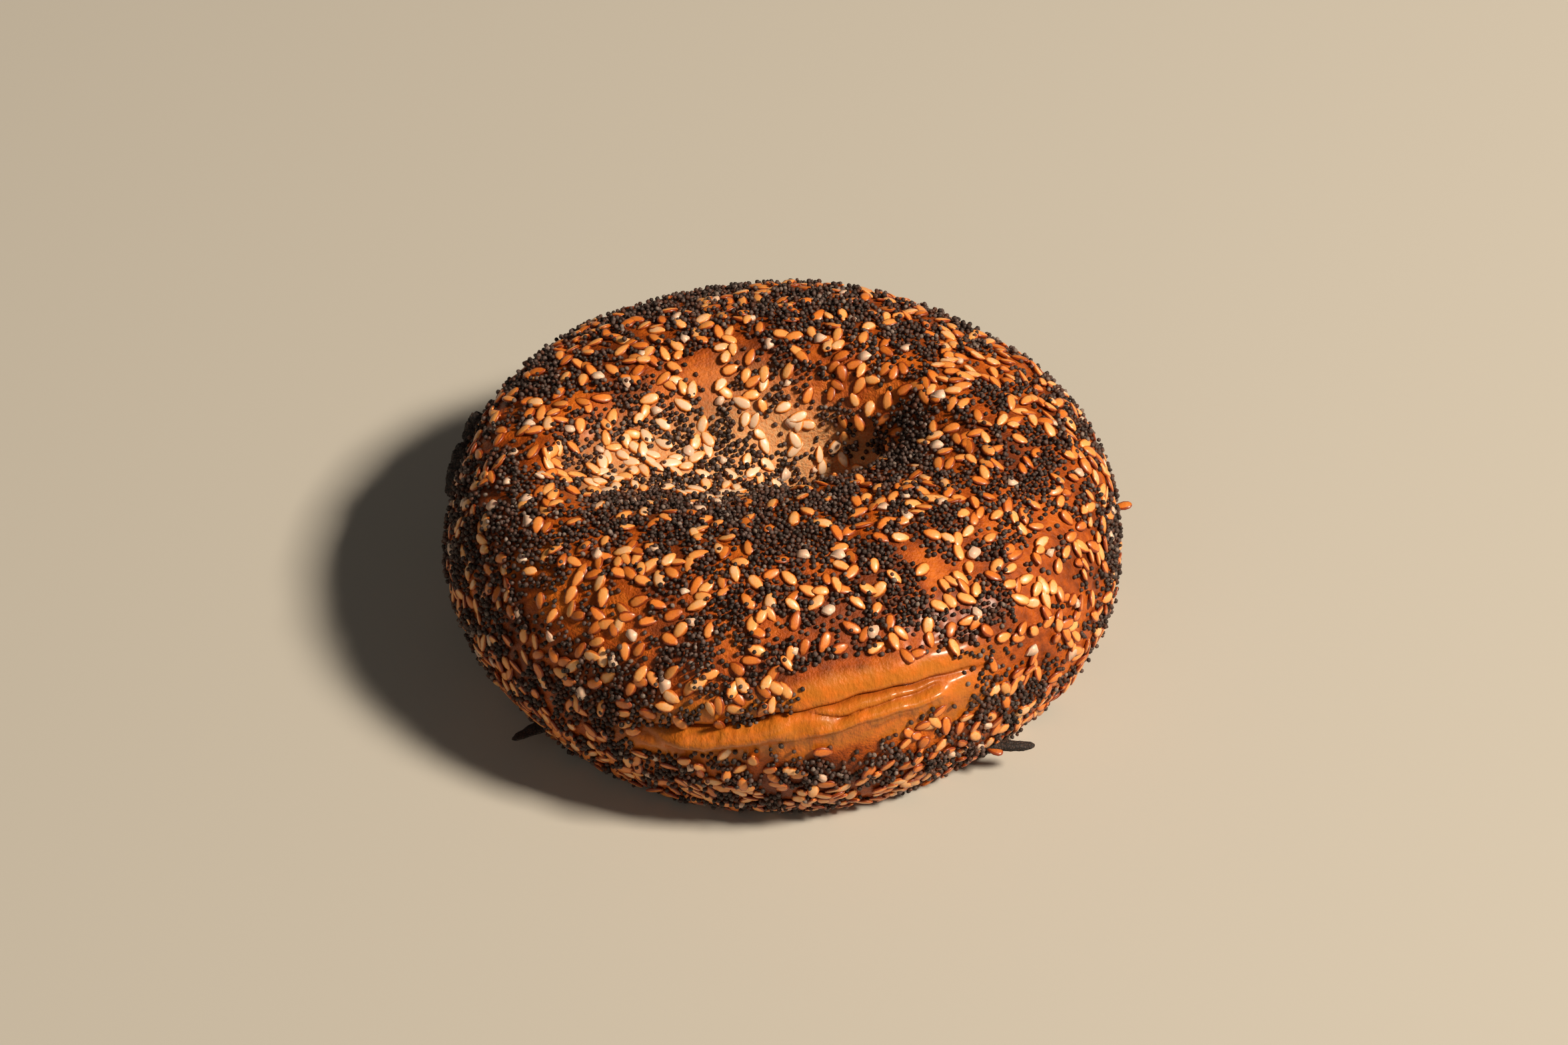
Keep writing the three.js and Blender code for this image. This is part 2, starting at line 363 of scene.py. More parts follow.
@dataclass(frozen=True)
class SesameFinish:
    """Toasted sesame hulls, browner at the rim and the tip."""

    stops: tuple[tuple[float, Colour], ...] = (
        (0.0, (0.80, 0.54, 0.36)),
        (0.25, (0.84, 0.38, 0.105)),
        (0.6, (0.72, 0.195, 0.022)),
        (1.0, (0.24, 0.034, 0.003)),
    )
    vein: float = 0.35
    dimple: float = 0.22
    glow: float = 0.6  # how far light goes in

    def build(self) -> bpy.types.Material:
        """Makes the material.

        Returns:
            The material.
        """
        g = ShaderGraph("sesame")
        along = g.attribute("along")
        rim = g.attribute("across").between(0.5, 0.85) * 0.66 - 0.15
        ends = (1 - along) ** 4 * 0.3 + along.between(0.84, 1.0) * 0.3
        veins = (g.noise(self.vein, 3) - 0.5) * 0.28
        toast = g.attribute("tone") + rim + ends + veins
        g.set(Base_Color=g.ramp(toast.clamped(), self.stops))
        g.set(Roughness=0.34 + g.noise(self.glow, 2) * 0.2, Specular_IOR_Level=0.45)
        g.set(Subsurface_Weight=0.12, Subsurface_Scale=self.glow * MM)
        g.set(Coat_Weight=0.3, Coat_Roughness=0.2)
        g.bump(g.noise(self.dimple, 3), 0.05, 0.6)
        return g.material


@dataclass(frozen=True)
class PoppyFinish:
    """Pitted poppy seeds of one shade."""

    name: str
    dark: Colour
    light: Colour
    pit: float = 0.16
    mottle: float = 0.3

    def build(self) -> bpy.types.Material:
        """Makes the material.

        Returns:
            The material.
        """
        g = ShaderGraph(self.name)
        pits = g.cells(self.pit)
        shade = (g.attribute("tone") * 0.7 + g.noise(self.mottle, 2) * 0.3).clamped()
        colour = g.mix(shade, self.dark, self.light)
        g.set(Base_Color=g.mix(pits.between(0.0, 0.5) * 0.4, colour, self.dark))
        g.set(Roughness=0.48 + pits * 0.3, Specular_IOR_Level=0.5)
        g.bump(pits, 0.05, 0.7)
        return g.material


@dataclass(frozen=True)
class OnionBitFinish:
    """Dried onion or garlic, whitish and slightly see-through."""

    white: Colour = (0.74, 0.52, 0.39)
    pink: Colour = (0.64, 0.37, 0.24)
    blotch: float = 0.9
    grain: float = 0.6
    glow: float = 1.2  # how far light goes in

    def build(self) -> bpy.types.Material:
        """Makes the material.

        Returns:
            The material.
        """
        g = ShaderGraph("onion_bits")
        toast = (g.attribute("tone") * 0.7 + g.noise(self.blotch, 3) * 0.5 - 0.1).clamped()
        g.set(Base_Color=g.mix(toast, self.white, self.pink), Roughness=0.4)
        g.set(Subsurface_Weight=0.25, Subsurface_Scale=self.glow * MM)
        g.bump(g.noise(self.grain, 2), 0.04, 0.4)
        return g.material


@dataclass(frozen=True)
class CharFinish:
    """Burnt onion: nearly black and granular."""

    black: Colour = (0.012, 0.008, 0.007)
    brown: Colour = (0.065, 0.034, 0.024)
    grain: float = 0.35
    dull: float = 0.5

    def build(self) -> bpy.types.Material:
        """Makes the material.

        Returns:
            The material.
        """
        g = ShaderGraph("charred_onion")
        grains = g.cells(self.grain)
        g.set(Base_Color=g.mix(grains.between(0.1, 0.6), self.brown, self.black))
        g.set(Roughness=0.6 + g.noise(self.dull, 2) * 0.3)
        g.bump(grains, 0.14, 0.9)
        return g.material


@dataclass(frozen=True)
class FloorFinish:
    """A plain pale surface."""

    colour: Colour = (0.47, 0.45, 0.41)

    def build(self) -> bpy.types.Material:
        """Makes the material.

        Returns:
            The material.
        """
        g = ShaderGraph("floor")
        g.set(Base_Color=(*self.colour, 1), Roughness=0.75)
        return g.material


# ---- meshes ----
def mesh_of(name: str, points: Any, faces: Iterable[Sequence[int]], smooth: bool) -> Any:
    """Makes a mesh from points in millimetres.

    Args:
        name: the mesh's name.
        points: its corners, in millimetres.
        faces: the corners of each face.
        smooth: whether its faces shade smoothly.

    Returns:
        The mesh.
    """
    mesh = bpy.data.meshes.new(name)
    mesh.from_pydata((np.asarray(points, float) * MM).tolist(), [], list(faces))
    mesh.polygons.foreach_set("use_smooth", [smooth] * len(mesh.polygons))
    mesh.update()
    return mesh


def finished(work: bmesh.types.BMesh, name: str) -> Any:
    """Ends the work on a shape and gives it as a mesh that shades smoothly.

    Args:
        work: the shape, which is freed.
        name: the mesh's name.

    Returns:
        The mesh.
    """
    mesh = bpy.data.meshes.new(name)
    work.to_mesh(mesh)
    work.free()
    mesh.polygons.foreach_set("use_smooth", [True] * len(mesh.polygons))
    return mesh


def paint(mesh: Any, name: str, values: Any) -> None:
    """Gives a mesh a number at each corner, under a name."""
    attribute = mesh.attributes.new(name, "FLOAT", "POINT")
    attribute.data.foreach_set("value", np.asarray(values, np.float32).ravel())


def object_of(mesh: Any, name: str) -> Any:
    """Puts a mesh in the scene.

    Args:
        mesh: the mesh.
        name: the object's name.

    Returns:
        The object.
    """
    shown = bpy.data.objects.new(name, mesh)
    bpy.context.scene.collection.objects.link(shown)
    return shown


def gathered(name: str, meshes: Iterable[Any]) -> Any:
    """Keeps meshes in a collection that isn't in the scene, for a tree to read.

    Args:
        name: the collection's name.
        meshes: what it holds.

    Returns:
        The collection.
    """
    collection = bpy.data.collections.new(name)
    for mesh in meshes:
        collection.objects.link(bpy.data.objects.new(mesh.name, mesh))
    return collection


def attach(piece: Any) -> None:
    """Makes a piece part of the bagel: it rides on its body and stands for its node.

    Args:
        piece: the object.
    """
    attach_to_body(piece, BODY)
    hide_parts(NODE)
    log.info("%s: %d faces", piece.name, len(piece.data.polygons))


# ---- curves ----
def bell(distance: Any, width: float) -> Any:
    """A bell curve, 1 at no distance."""
    return np.exp(-((distance / width) ** 2))


def eased(value: Any, low: float, high: float) -> Any:
    """0 under low, 1 over high, and a smooth step between."""
    share = np.clip((value - low) / (high - low), 0, 1)
    return share * share * (3 - 2 * share)


def plateau(value: Any, rise: Span, fall: Span) -> Any:
    """0 before the rise, 1 from its end to the start of the fall, and 0 after."""
    return eased(value, *rise) * (1 - eased(value, *fall))


def crowded(fine: np.ndarray, crowd: np.ndarray, count: int) -> np.ndarray:
    """Places along a closed line, closer together where the crowd is more.

    Args:
        fine: many even places along the line, from its start to its end.
        crowd: how densely the places lie at each of them.
        count: how many places there are.

    Returns:
        The places.
    """
    total = np.concatenate([[0], np.cumsum((crowd[1:] + crowd[:-1]) / 2)])
    return np.interp(np.arange(count) / count * total[-1], total, fine)


def wrapped_noise(points: np.ndarray, size: float, seed: float) -> np.ndarray:
    """Smooth noise at points.

    Args:
        points: places in millimetres, one to a row.
        size: the width of the noise's swells, in millimetres.
        seed: moves the noise, so that each has its own.

    Returns:
        A number from about -1 to 1 at each point.
    """
    return np.array([noise.noise(Vector(p)) for p in points / size + seed])


# ---- camera ----
@dataclass
class Viewpoint:
    """The camera, placed as the photograph was taken."""

    elevation: float = 45.0  # degrees
    lens: float = 85.0
    sensor: float = 36.0
    frame_size: tuple[int, int] = (2353, 1568)  # pixels
    aim: Place = (0.145, -0.129, 21.0)  # a point inside the bagel
    aim_pixel: Span = (1177.0, 777.0)  # where that point shows
    pixels_per_mm: float = 9.16  # at the aim
    nearest: float = 10.0  # what is closer than this doesn't show

    def __post_init__(self) -> None:
        """Works out the place and the axes."""
        lift = math.radians(self.elevation)
        self.back = np.array([0, -math.cos(lift), math.sin(lift)])
        self.right = np.array([1.0, 0, 0])
        self.up = np.cross(self.back, self.right)
        self.focal = self.lens / self.sensor * self.frame_size[0]
        across = (self.aim_pixel[0] - self.frame_size[0] / 2) / self.pixels_per_mm
        down = (self.aim_pixel[1] - self.frame_size[1] / 2) / self.pixels_per_mm
        distance = self.focal / self.pixels_per_mm
        self.eye = np.array(self.aim) + self.back * distance - self.right * across + self.up * down

    def pixels(self, points: np.ndarray) -> np.ndarray:
        """Works out where points show in the photograph.

        Args:
            points: places in millimetres, one to a row.

        Returns:
            How far across and down each one is, in pixels.
        """
        ray = points - self.eye
        depth = -(ray @ self.back)
        x = self.frame_size[0] / 2 + self.focal * (ray @ self.right) / depth
        y = self.frame_size[1] / 2 - self.focal * (ray @ self.up) / depth
        return np.stack([x, y], axis=-1)

    def build(self) -> None:
        """Makes the camera and gives it to the scene."""
        data = bpy.data.cameras.new("camera")
        data.lens = self.lens
        data.sensor_width = self.sensor
        data.clip_start = self.nearest * MM
        camera = bpy.data.objects.new("camera", data)
        turn = Matrix((self.right, self.up, self.back)).transposed().to_4x4()
        camera.matrix_world = Matrix.Translation(Vector(self.eye) * MM) @ turn
        bpy.context.scene.collection.objects.link(camera)
        bpy.context.scene.camera = camera


# ---- the dough ----
@dataclass(frozen=True)
class Ring:
    """An ellipse round the hole, at one height of the dough."""

    x: float
    y: float
    length: float
    width: float
    height: float
    turn: float = 0.0  # degrees
    swell: float = 0.0  # share of the outline's lobes


@dataclass(frozen=True)
class Form:
    """A ridge or crease beside the fold: how far it stands out, where, and how wide."""

    size: float
    above: float
    width: float

    def at(self, place: Any) -> Any:
        """How far it stands out at a place above the crease."""
        return self.size * bell(place - self.above, self.width)


@dataclass(frozen=True)
class Wrinkle:
    """A short ridge near the fold, between two places: degrees round the hole and above."""

    start: Span
    end: Span
    size: float
    width: float


@dataclass
class Surface:
    """The dough's points, one to a row, and where each lies."""

    points: np.ndarray  # places, in millimetres
    normals: np.ndarray  # outward directions
    row: np.ndarray  # rings from the hole's neck
    above: np.ndarray  # length of dough over the crease, in millimetres
    degrees: np.ndarray  # directions round the hole
    groove: np.ndarray  # depth in the fold's grooves, in millimetres


@dataclass(frozen=True)
class Patch:
    """A region of the photograph where toppings lie thicker or thinner, in its pixels."""

    x: float
    y: float
    width: float
    height: float
    sesame: float = 1.0
    poppy: float = 1.0


@dataclass
class Dough:
    """The baked ring, worked out as in the solid, with its fine relief added."""

    length: float = 110.4
    depth: float = 101.8
    height: float = 39.4
    middle: Span = (-0.2, 0.4)
    hole: tuple[float, float, float, float] = (7.2, 4.6, 14.4, 10.0)
    throat: tuple[float, float, float, float, float] = (6.2, 4.4, 19.6, 13.2, 5.0)
    groove: tuple[float, float, float, float, float] = (-7.6, 2.6, 53.0, 22.0, 11.0)
    crest: tuple[float, float, float, float, float] = (-4.2, -1.0, 72.0, 54.0, 5.0)
    neck_share: float = 0.355  # height of the hole's neck, as a share of the dough's
    throat_share: float = 0.62
    groove_share: float = 0.835
    crest_swell: float = 0.3
    # The outline's rings: share of the outline, of the height and of the lobes.
    outline_rings: tuple[Place, ...] = (
        (0.9, 0.807, 0.8),
        (1, 0.447, 1),
        (0.932, 0.112, 1),
        (0.785, 0, 0.9),
    )
    widest: int = 5  # which of all the rings is the widest
    under_rings: tuple[Span, ...] = ((6.8, 0), (1.4, 0.127))  # wider than the hole by; height
    dip: float = 3.2  # how much lower the crest is where the groove runs out
    lobes: int = 3
    lobe_swell: float = 0.0076
    lobe_phase: float = 45.5
    # Slow swells: size, waves round, phase, waves along the section, phase.
    swells: tuple[tuple[float, float, float, float, float], ...] = (
        (0.5, 2, 0.7, 2, -0.57),
        (0.3, 5, -1.1, 2, 2.0),
    )
    swell_fade: float = 6.0  # height under which the swells fade
    fold_row: float = 4.5
    fold_angle: float = -79.0
    fold_high: float = 4.2
    fold_drop: float = 1.0
    fold_spread: float = 50.0
    fold_rises: Span = (-131.0, -111.0)  # degrees
    fold_falls: Span = (-72.0, -52.0)
    lip: Form = Form(0.6, 2.4, 2.0)
    crease: Form = Form(-1.15, -0.5, 0.6)
    roll: Form = Form(0.95, -3.4, 2.2)
    overhang: Form = Form(0.4, 0.7, 0.8)
    crease_opens: Span = (-108.0, -94.0)  # degrees: shallow before, deep after
    crease_closes: Span = (-76.0, -64.0)  # deep before, shallow after
    crease_shallow: float = 0.55  # share of the crease's depth where it is shallow
    crease_full: float = 0.8  # groove depth at which the browning and painted shade in a crease are strongest
    bare_widens: Span = (-102.0, -86.0)  # degrees: bare over the crease after
    bare_narrows: Span = (-86.0, -64.0)  # degrees: less bare below it after
    pale_wall: float = -242.0  # degrees: where the pale dough reaches furthest up
    pale_wall_spread: float = 42.0
    pale_fades: Span = (0.75, 1.95)  # rows, as are the next four
    pale_below: Span = (8.6, 9.2)
    sole_rises: Span = (6.98, 7.02)
    sole_falls: Span = (8.0, 8.04)
    low_down: Span = (4.9, 5.7)
    crinkle: float = 0.22  # height of the fine crinkles across the roll
    crinkle_width: float = 0.85
    wrinkles: tuple[Wrinkle, ...] = (
        Wrinkle((-95, -1.0), (-87, -3.0), -0.6, 0.4),
        Wrinkle((-89, -3.0), (-70, -1.5), -0.75, 0.45),
        Wrinkle((-93, -4.0), (-70, -2.7), 0.6, 0.6),
        Wrinkle((-84, -5.8), (-76, -4.8), -0.2, 0.6),
        Wrinkle((-119, -3.6), (-97, -2.8), 1.0, 1.3),
        Wrinkle((-119, -0.6), (-97, -0.3), -0.7, 0.8),
        Wrinkle((-98, -4.2), (-86, -3.7), 0.2, 0.5),
        Wrinkle((-121, -1.0), (-113, -5.5), -0.9, 1.0),
        Wrinkle((-72, 4.4), (-58, 5.8), -0.25, 0.9),
    )
    # How the crease wavers: height in millimetres, waves round the hole and phase.
    wavers: tuple[Place, ...] = ((0.12, 23, 0.4), (0.1, 53, 2.1))
    row_length: float = 15.0  # length of dough between the rings beside the fold
    columns: int = 400
    rows: int = 240
    fold_crowd: float = 1.4  # how many more columns there are along the fold
    # How many more rows there are, at which row, and how far from it.
    row_crowds: tuple[Place, ...] = ((3.2, 4.55, 0.42), (-0.9, 7.5, 0.45))
    under_crowd: float = 0.35  # how many fewer rows there are towards the hole's underside
    under_from: Span = (8.2, 9)
    sole_lift: float = 0.3  # the sole rests on a few seeds
    # How far the dough lies inside the solid, so that the toppings reach its surface: a
    # middle, what it varies round the hole, and the direction where it is most.
    inset: Place = (0.4, 0.7, 55.0)
    offset: Span = (0.145, -0.129)  # puts the bagel's box over the origin
    patches: tuple[Patch, ...] = (
        Patch(1058, 552, 40, 26, sesame=0.15, poppy=0.02),
        Patch(1078, 592, 30, 17, sesame=0.5, poppy=0.1),
        Patch(1478, 545, 62, 24, sesame=1.0, poppy=0.12),
        Patch(1280, 590, 66, 24, sesame=1.0, poppy=0.2),
        Patch(1180, 650, 70, 34, sesame=0.7, poppy=0.35),
        Patch(1350, 668, 38, 48, sesame=0.35, poppy=2.2),
        Patch(835, 880, 60, 40, sesame=0.9, poppy=0.75),
        Patch(815, 975, 50, 36, sesame=0.6, poppy=0.5),
        Patch(960, 950, 60, 26, sesame=0.8, poppy=0.6),
        Patch(1335, 1010, 120, 26, sesame=0.1, poppy=0.04),
        Patch(1245, 1022, 70, 22, sesame=0.3, poppy=0.15),
        Patch(1590, 880, 75, 130, sesame=1.1, poppy=0.3),
        Patch(1530, 960, 60, 50, sesame=0.7, poppy=0.5),
        Patch(870, 790, 150, 45, sesame=0.45, poppy=1.5),
        Patch(1130, 780, 170, 40, sesame=0.6, poppy=1.5),
        Patch(1190, 880, 170, 75, sesame=0.85, poppy=1.4),
        Patch(1230, 470, 90, 40, sesame=0.8, poppy=1.4),
        Patch(900, 695, 95, 44, sesame=2.5, poppy=0.75),
        Patch(1040, 690, 70, 36, sesame=1.2, poppy=1.0),
        Patch(1195, 610, 110, 55, sesame=1.1, poppy=0.7),
        Patch(1245, 705, 55, 20, sesame=0.8, poppy=0.35),
    )
    thickest: float = 1.6  # most that the patches leave, before it is cut to 1

    def _rings(self) -> tuple[Ring, ...]:
        """The closed rings, from the hole's neck up over the crest and back along the sole.

        Returns:
            The rings, in order.
        """
        hole_x, hole_y, hole_length, hole_width = self.hole
        high = self.height

        def at_hole(grow: float, share: float) -> Ring:
            """A ring round the hole, at a share of the height."""
            size = (hole_length + 2 * grow, hole_width + 2 * grow)
            return Ring(hole_x, hole_y, *size, share * high)

        def turned(form: Sequence[float], share: float, swell: float = 0.0) -> Ring:
            """A ring that is turned about the height."""
            return Ring(*form[:4], share * high, form[4], swell)

        outline = [
            Ring(*self.middle, share * self.length, share * self.depth, up * high, 0, swell)
            for share, up, swell in self.outline_rings
        ]
        return (
            at_hole(0, self.neck_share),
            turned(self.throat, self.throat_share),
            turned(self.groove, self.groove_share),
            turned(self.crest, 1, self.crest_swell),
            *outline,
            *(at_hole(grow, share) for grow, share in self.under_rings),
        )

    def reach(self, angle: np.ndarray, ring: Ring) -> np.ndarray:
        """The distance from the hole's axis to a ring.

        Args:
            angle: directions round the hole, in radians.
            ring: the ring.

        Returns:
            The distance in each direction, in millimetres.
        """
        turn = math.radians(ring.turn)
        cos, sin = math.cos(turn), math.sin(turn)
        dx, dy = self.hole[0] - ring.x, self.hole[1] - ring.y
        px = (dx * cos + dy * sin) / (ring.length / 2)
        py = (dy * cos - dx * sin) / (ring.width / 2)
        qx = np.cos(angle - turn) / (ring.length / 2)
        qy = np.sin(angle - turn) / (ring.width / 2)
        a = qx * qx + qy * qy
        b = px * qx + py * qy
        c = px * px + py * py - 1
        lobes = self.lobe_swell * np.cos(self.lobes * angle - math.radians(self.lobe_phase))
        return (np.sqrt(b * b - a * c) - b) / a * (1 + ring.swell * lobes)

    def _placed(self, radius: Any, angle: Any) -> tuple[Any, Any]:
        """Places points by their distance and direction from the hole's axis.

        Args:
            radius: the distance, in millimetres.
            angle: the direction, in radians.

        Returns:
            X and Y.
        """
        x = self.hole[0] + self.offset[0] + radius * np.cos(angle)
        y = self.hole[1] + self.offset[1] + radius * np.sin(angle)
        return x, y

    def beside(self, place: Place) -> Vector:
        """A point beside the dough.

        Args:
            place: degrees round the hole, height, and distance out from the widest outline.

        Returns:
            The point, in millimetres.
        """
        degrees, height, outwards = place
        angle = math.radians(degrees)
        radius = float(self.reach(np.array([angle]), self._rings()[self.widest])[0]) + outwards
        return Vector((*self._placed(radius, angle), height))

    def _section(self, angle: np.ndarray) -> np.ndarray:
        """Works out each ring's distance from the hole's axis, and its height.

        Args:
            angle: directions round the hole, in radians.

        Returns:
            The two numbers for each ring and each angle.
        """
        towards = np.maximum(0, -np.cos(angle - math.radians(self.crest[4]))) ** 3
        points = []
        for ring in self._rings():
            share = max(0.0, ring.height / self.height - self.groove_share)
            sunk = self.dip * share / (1 - self.groove_share) * towards
            points.append(np.stack([self.reach(angle, ring), ring.height - sunk], axis=-1))
        return np.array(points)

    def _row_places(self) -> np.ndarray:
        """Spreads the mesh's rows: close together at the fold, few on the sole.

        Returns:
            Their places, counted in rings.
        """
        fine = np.linspace(0, 10, 4001)
        crowd = np.ones_like(fine)
        for more, row, spread in self.row_crowds:
            crowd = crowd + more * bell(fine - row, spread)
        crowd -= self.under_crowd * eased(fine, *self.under_from)
        return crowded(fine, crowd, self.rows)

    def _column_degrees(self) -> np.ndarray:
        """The mesh's columns, in degrees round the hole: closer together along the fold."""
        fine = np.linspace(-360, 0, 3601)
        return crowded(fine, 1 + self.fold_crowd * self._fold_share(fine), self.columns)

    def _fold_share(self, degrees: np.ndarray) -> np.ndarray:
        """How strong the fold is at each angle, from 0 to 1."""
        return plateau(degrees, self.fold_rises, self.fold_falls)

    def _follow_fold(self, row: np.ndarray, degrees: np.ndarray) -> np.ndarray:
        """The rows near the fold, moved up and down with it.

        Args:
            row: places counted in rings.
            degrees: directions round the hole.

        Returns:
            The moved places.
        """
        away = np.minimum(1, np.abs(row - self.fold_row) / 2)
        rise = self.fold_drop * (1 - bell(degrees - self.fold_angle, self.fold_spread))
        line = self.fold_high + rise
        return row + (line - self.fold_row) * 0.5 * (1 + np.cos(math.pi * away))

    def _wrinkled(self, degrees: np.ndarray, above: np.ndarray) -> np.ndarray:
        """Works out how far the wrinkles stand out beside the fold.

        Args:
            degrees: directions round the hole.
            above: lengths of dough over the crease, in millimetres.

        Returns:
            The distance at each place, in millimetres.
        """
        mm_per_degree = math.radians(1) * self.length / 2
        out = np.zeros(np.broadcast(degrees, above).shape)
        for wrinkle in self.wrinkles:
            start = np.array([wrinkle.start[0] * mm_per_degree, wrinkle.start[1]])
            line = np.array([wrinkle.end[0] * mm_per_degree, wrinkle.end[1]]) - start
            x, y = degrees * mm_per_degree - start[0], above - start[1]
            length = np.hypot(*line)
            along = (x * line[0] + y * line[1]) / length
            across = (y * line[0] - x * line[1]) / length
            ends = plateau(along, (-1.5, 2), (length - 2, length + 1.5))
            out += wrinkle.size * bell(across, wrinkle.width) * ends
        return out

    def _curve(self, place: np.ndarray, angle: np.ndarray) -> tuple[np.ndarray, np.ndarray]:
        """The smooth section through the rings.

        Args:
            place: where on the section each point is, counted in rings.
            angle: the columns' directions round the hole, in radians.

        Returns:
            Each point's distance and height, and the section's direction there.
        """
        rings = self._section(angle)
        index = np.floor(place).astype(int)
        w = (place - index)[..., None]
        columns = np.arange(self.columns)[None, :]
        p0, p1, p2, p3 = (rings[(index + k) % len(rings), columns] for k in (-1, 0, 1, 2))
        t0, t1 = (p2 - p0) / 2, (p3 - p1) / 2
        c2, c3 = 3 * (p2 - p1) - 2 * t0 - t1, 2 * (p1 - p2) + t0 + t1
        along = t0 + w * (2 * c2 + 3 * w * c3)
        along /= np.linalg.norm(along, axis=-1, keepdims=True)
        return p1 + w * (t0 + w * (c2 + w * c3)), along

    def _uneven(self, turn: np.ndarray, angle: np.ndarray, height: np.ndarray) -> np.ndarray:
        """Works out how far the slow swells stand out.

        Args:
            turn: angles along the section, in radians.
            angle: directions round the hole, in radians.
            height: heights over the floor, in millimetres.

        Returns:
            The distance at each place, in millimetres.
        """
        uneven = sum(
            size * np.cos(around * angle[None, :] + phase) * np.cos(waves * turn + waves_phase)
            for size, around, phase, waves, waves_phase in self.swells
        )
        return uneven * np.clip(height / self.swell_fade, None, 1)

    def surface(self) -> Surface:
        """Works the dough out, without its finest relief.

        Returns:
            The surface.
        """
        degrees = self._column_degrees()[None, :]
        angle = np.radians(degrees[0])
        row = self._row_places()[:, None]
        count = len(self._rings())
        point, along = self._curve(self._follow_fold(row, degrees) % count, angle)
        above = (self.fold_row - row) * self.row_length
        wavering = above
        for size, waves, phase in self.wavers:
            wavering = wavering + size * np.sin(waves * angle[None, :] + phase)
        share = self._fold_share(degrees)
        lip, crease, roll = (form.at(wavering) for form in (self.lip, self.crease, self.roll))
        deep = plateau(degrees, self.crease_opens, self.crease_closes)
        crease = crease * (self.crease_shallow + (1 - self.crease_shallow) * deep)
        wrinkled = self._wrinkled(degrees, wavering)
        uneven = self._uneven(2 * math.pi * row / count, angle, point[..., 1])
        out = share * (lip + crease + roll + wrinkled) + uneven
        down = share * self.overhang.at(wavering)
        radius = point[..., 0] - along[..., 1] * out + along[..., 0] * down
        height = np.maximum(0, point[..., 1] + along[..., 0] * out + along[..., 1] * down)
        points = np.stack([*self._placed(radius, angle), height], axis=-1)
        groove = np.maximum(0, -share * (crease + np.minimum(0, wrinkled)))
        return Surface(
            points.reshape(-1, 3),
            self._normals(points).reshape(-1, 3),
            np.broadcast_to(row, height.shape).ravel(),
            np.broadcast_to(above, height.shape).ravel(),
            np.broadcast_to(degrees, height.shape).ravel(),
            groove.ravel(),
        )

    @staticmethod
    def _normals(points: np.ndarray) -> np.ndarray:
        """Works out the outward directions on the mesh's grid.

        Args:
            points: the grid's places, in rows and columns.

        Returns:
            A unit vector for each point.
        """
        across = np.roll(points, -1, 1) - np.roll(points, 1, 1)
        onward = np.roll(points, -1, 0) - np.roll(points, 1, 0)
        normal = np.cross(across, onward)
        normal /= np.linalg.norm(normal, axis=-1, keepdims=True) + 1e-9
        height = points[..., 2]
        highest = np.unravel_index(height.argmax(), height.shape)
        return -normal if normal[highest][2] < 0 else normal

    def _marks(self, view: Viewpoint, surface: Surface) -> dict[Mark, np.ndarray]:
        """Works out what is painted on the dough.

        Args:
            view: the camera, which says where the patches lie.
            surface: the dough's points.

        Returns:
            Each mark's value at each point.
        """
        flat, row, degrees = surface.points, surface.row, surface.degrees
        fold = self._fold_share(degrees)
        broad = wrapped_noise(flat, 9, 3.1)
        small = wrapped_noise(flat, 4, 11.7)
        ragged = surface.above + 1.3 * small
        towards_groove = np.maximum(0, -np.cos(np.radians(degrees - self.groove[4]))) ** 2
        back_wall = bell(degrees - self.pale_wall, self.pale_wall_spread)
        depth = row - 0.7 * towards_groove - 0.75 * back_wall + 0.25 * broad
        sheltered = 1 - eased(depth, *self.pale_fades)
        right = eased(degrees, *self.bare_widens)
        far = eased(degrees, *self.bare_narrows)
        bare = fold * eased(ragged, 5.5 * far - 9 - 2.6 * right, 3.5 * far - 4.5 - 2.2 * right)
        bare *= 1 - eased(ragged, 2.8 * right - 0.6, 4.2 * right + 0.8)
        pressed = plateau(row, self.sole_rises, self.sole_falls)
        low_down = eased(row, *self.low_down) * (1 - pressed)
        sesame = np.clip(0.5 - 0.25 * broad + 0.42 * small + 0.3 * low_down, 0.1, 1)
        poppy = 0.86 + 0.6 * broad + 1.2 * wrapped_noise(flat, 4.5, 29.3) - 0.2 * low_down
        poppy = np.clip(poppy, 0.16, 1)
        for patch, inside in self._patched(view, surface, small):
            sesame *= 1 + (patch.sesame - 1) * inside
            poppy *= 1 + (patch.poppy - 1) * inside
        in_hole = np.maximum(1 - eased(row, 0.35, 0.9), eased(row, 8.1, 8.5))
        kept = (1 - bare) * (1 - 0.985 * in_hole) * (1 - 0.75 * pressed)
        sesame, poppy = (np.clip(cover, 0, self.thickest) * kept for cover in (sesame, poppy))
        return {
            Mark.SHELTERED: np.maximum(sheltered, eased(row, *self.pale_below)),
            Mark.STRETCHED: fold * plateau(ragged, (-9.5, -6.5), (2, 5)),
            # browning and painted shade in the fold's grooves, by their depth
            Mark.CREASED: np.clip(surface.groove / self.crease_full, 0, 1),
            Mark.PRESSED: pressed,
            Mark.SESAME: np.clip(sesame, 0, 1),
            Mark.POPPY: np.clip(poppy, 0, 1),
            Mark.PILE: np.clip(poppy * 1.5 - 0.75, 0, 1) * (1 - pressed),
            Mark.BITS: kept * np.clip(0.6 + broad, 0, 1) * (1 - pressed),
        }

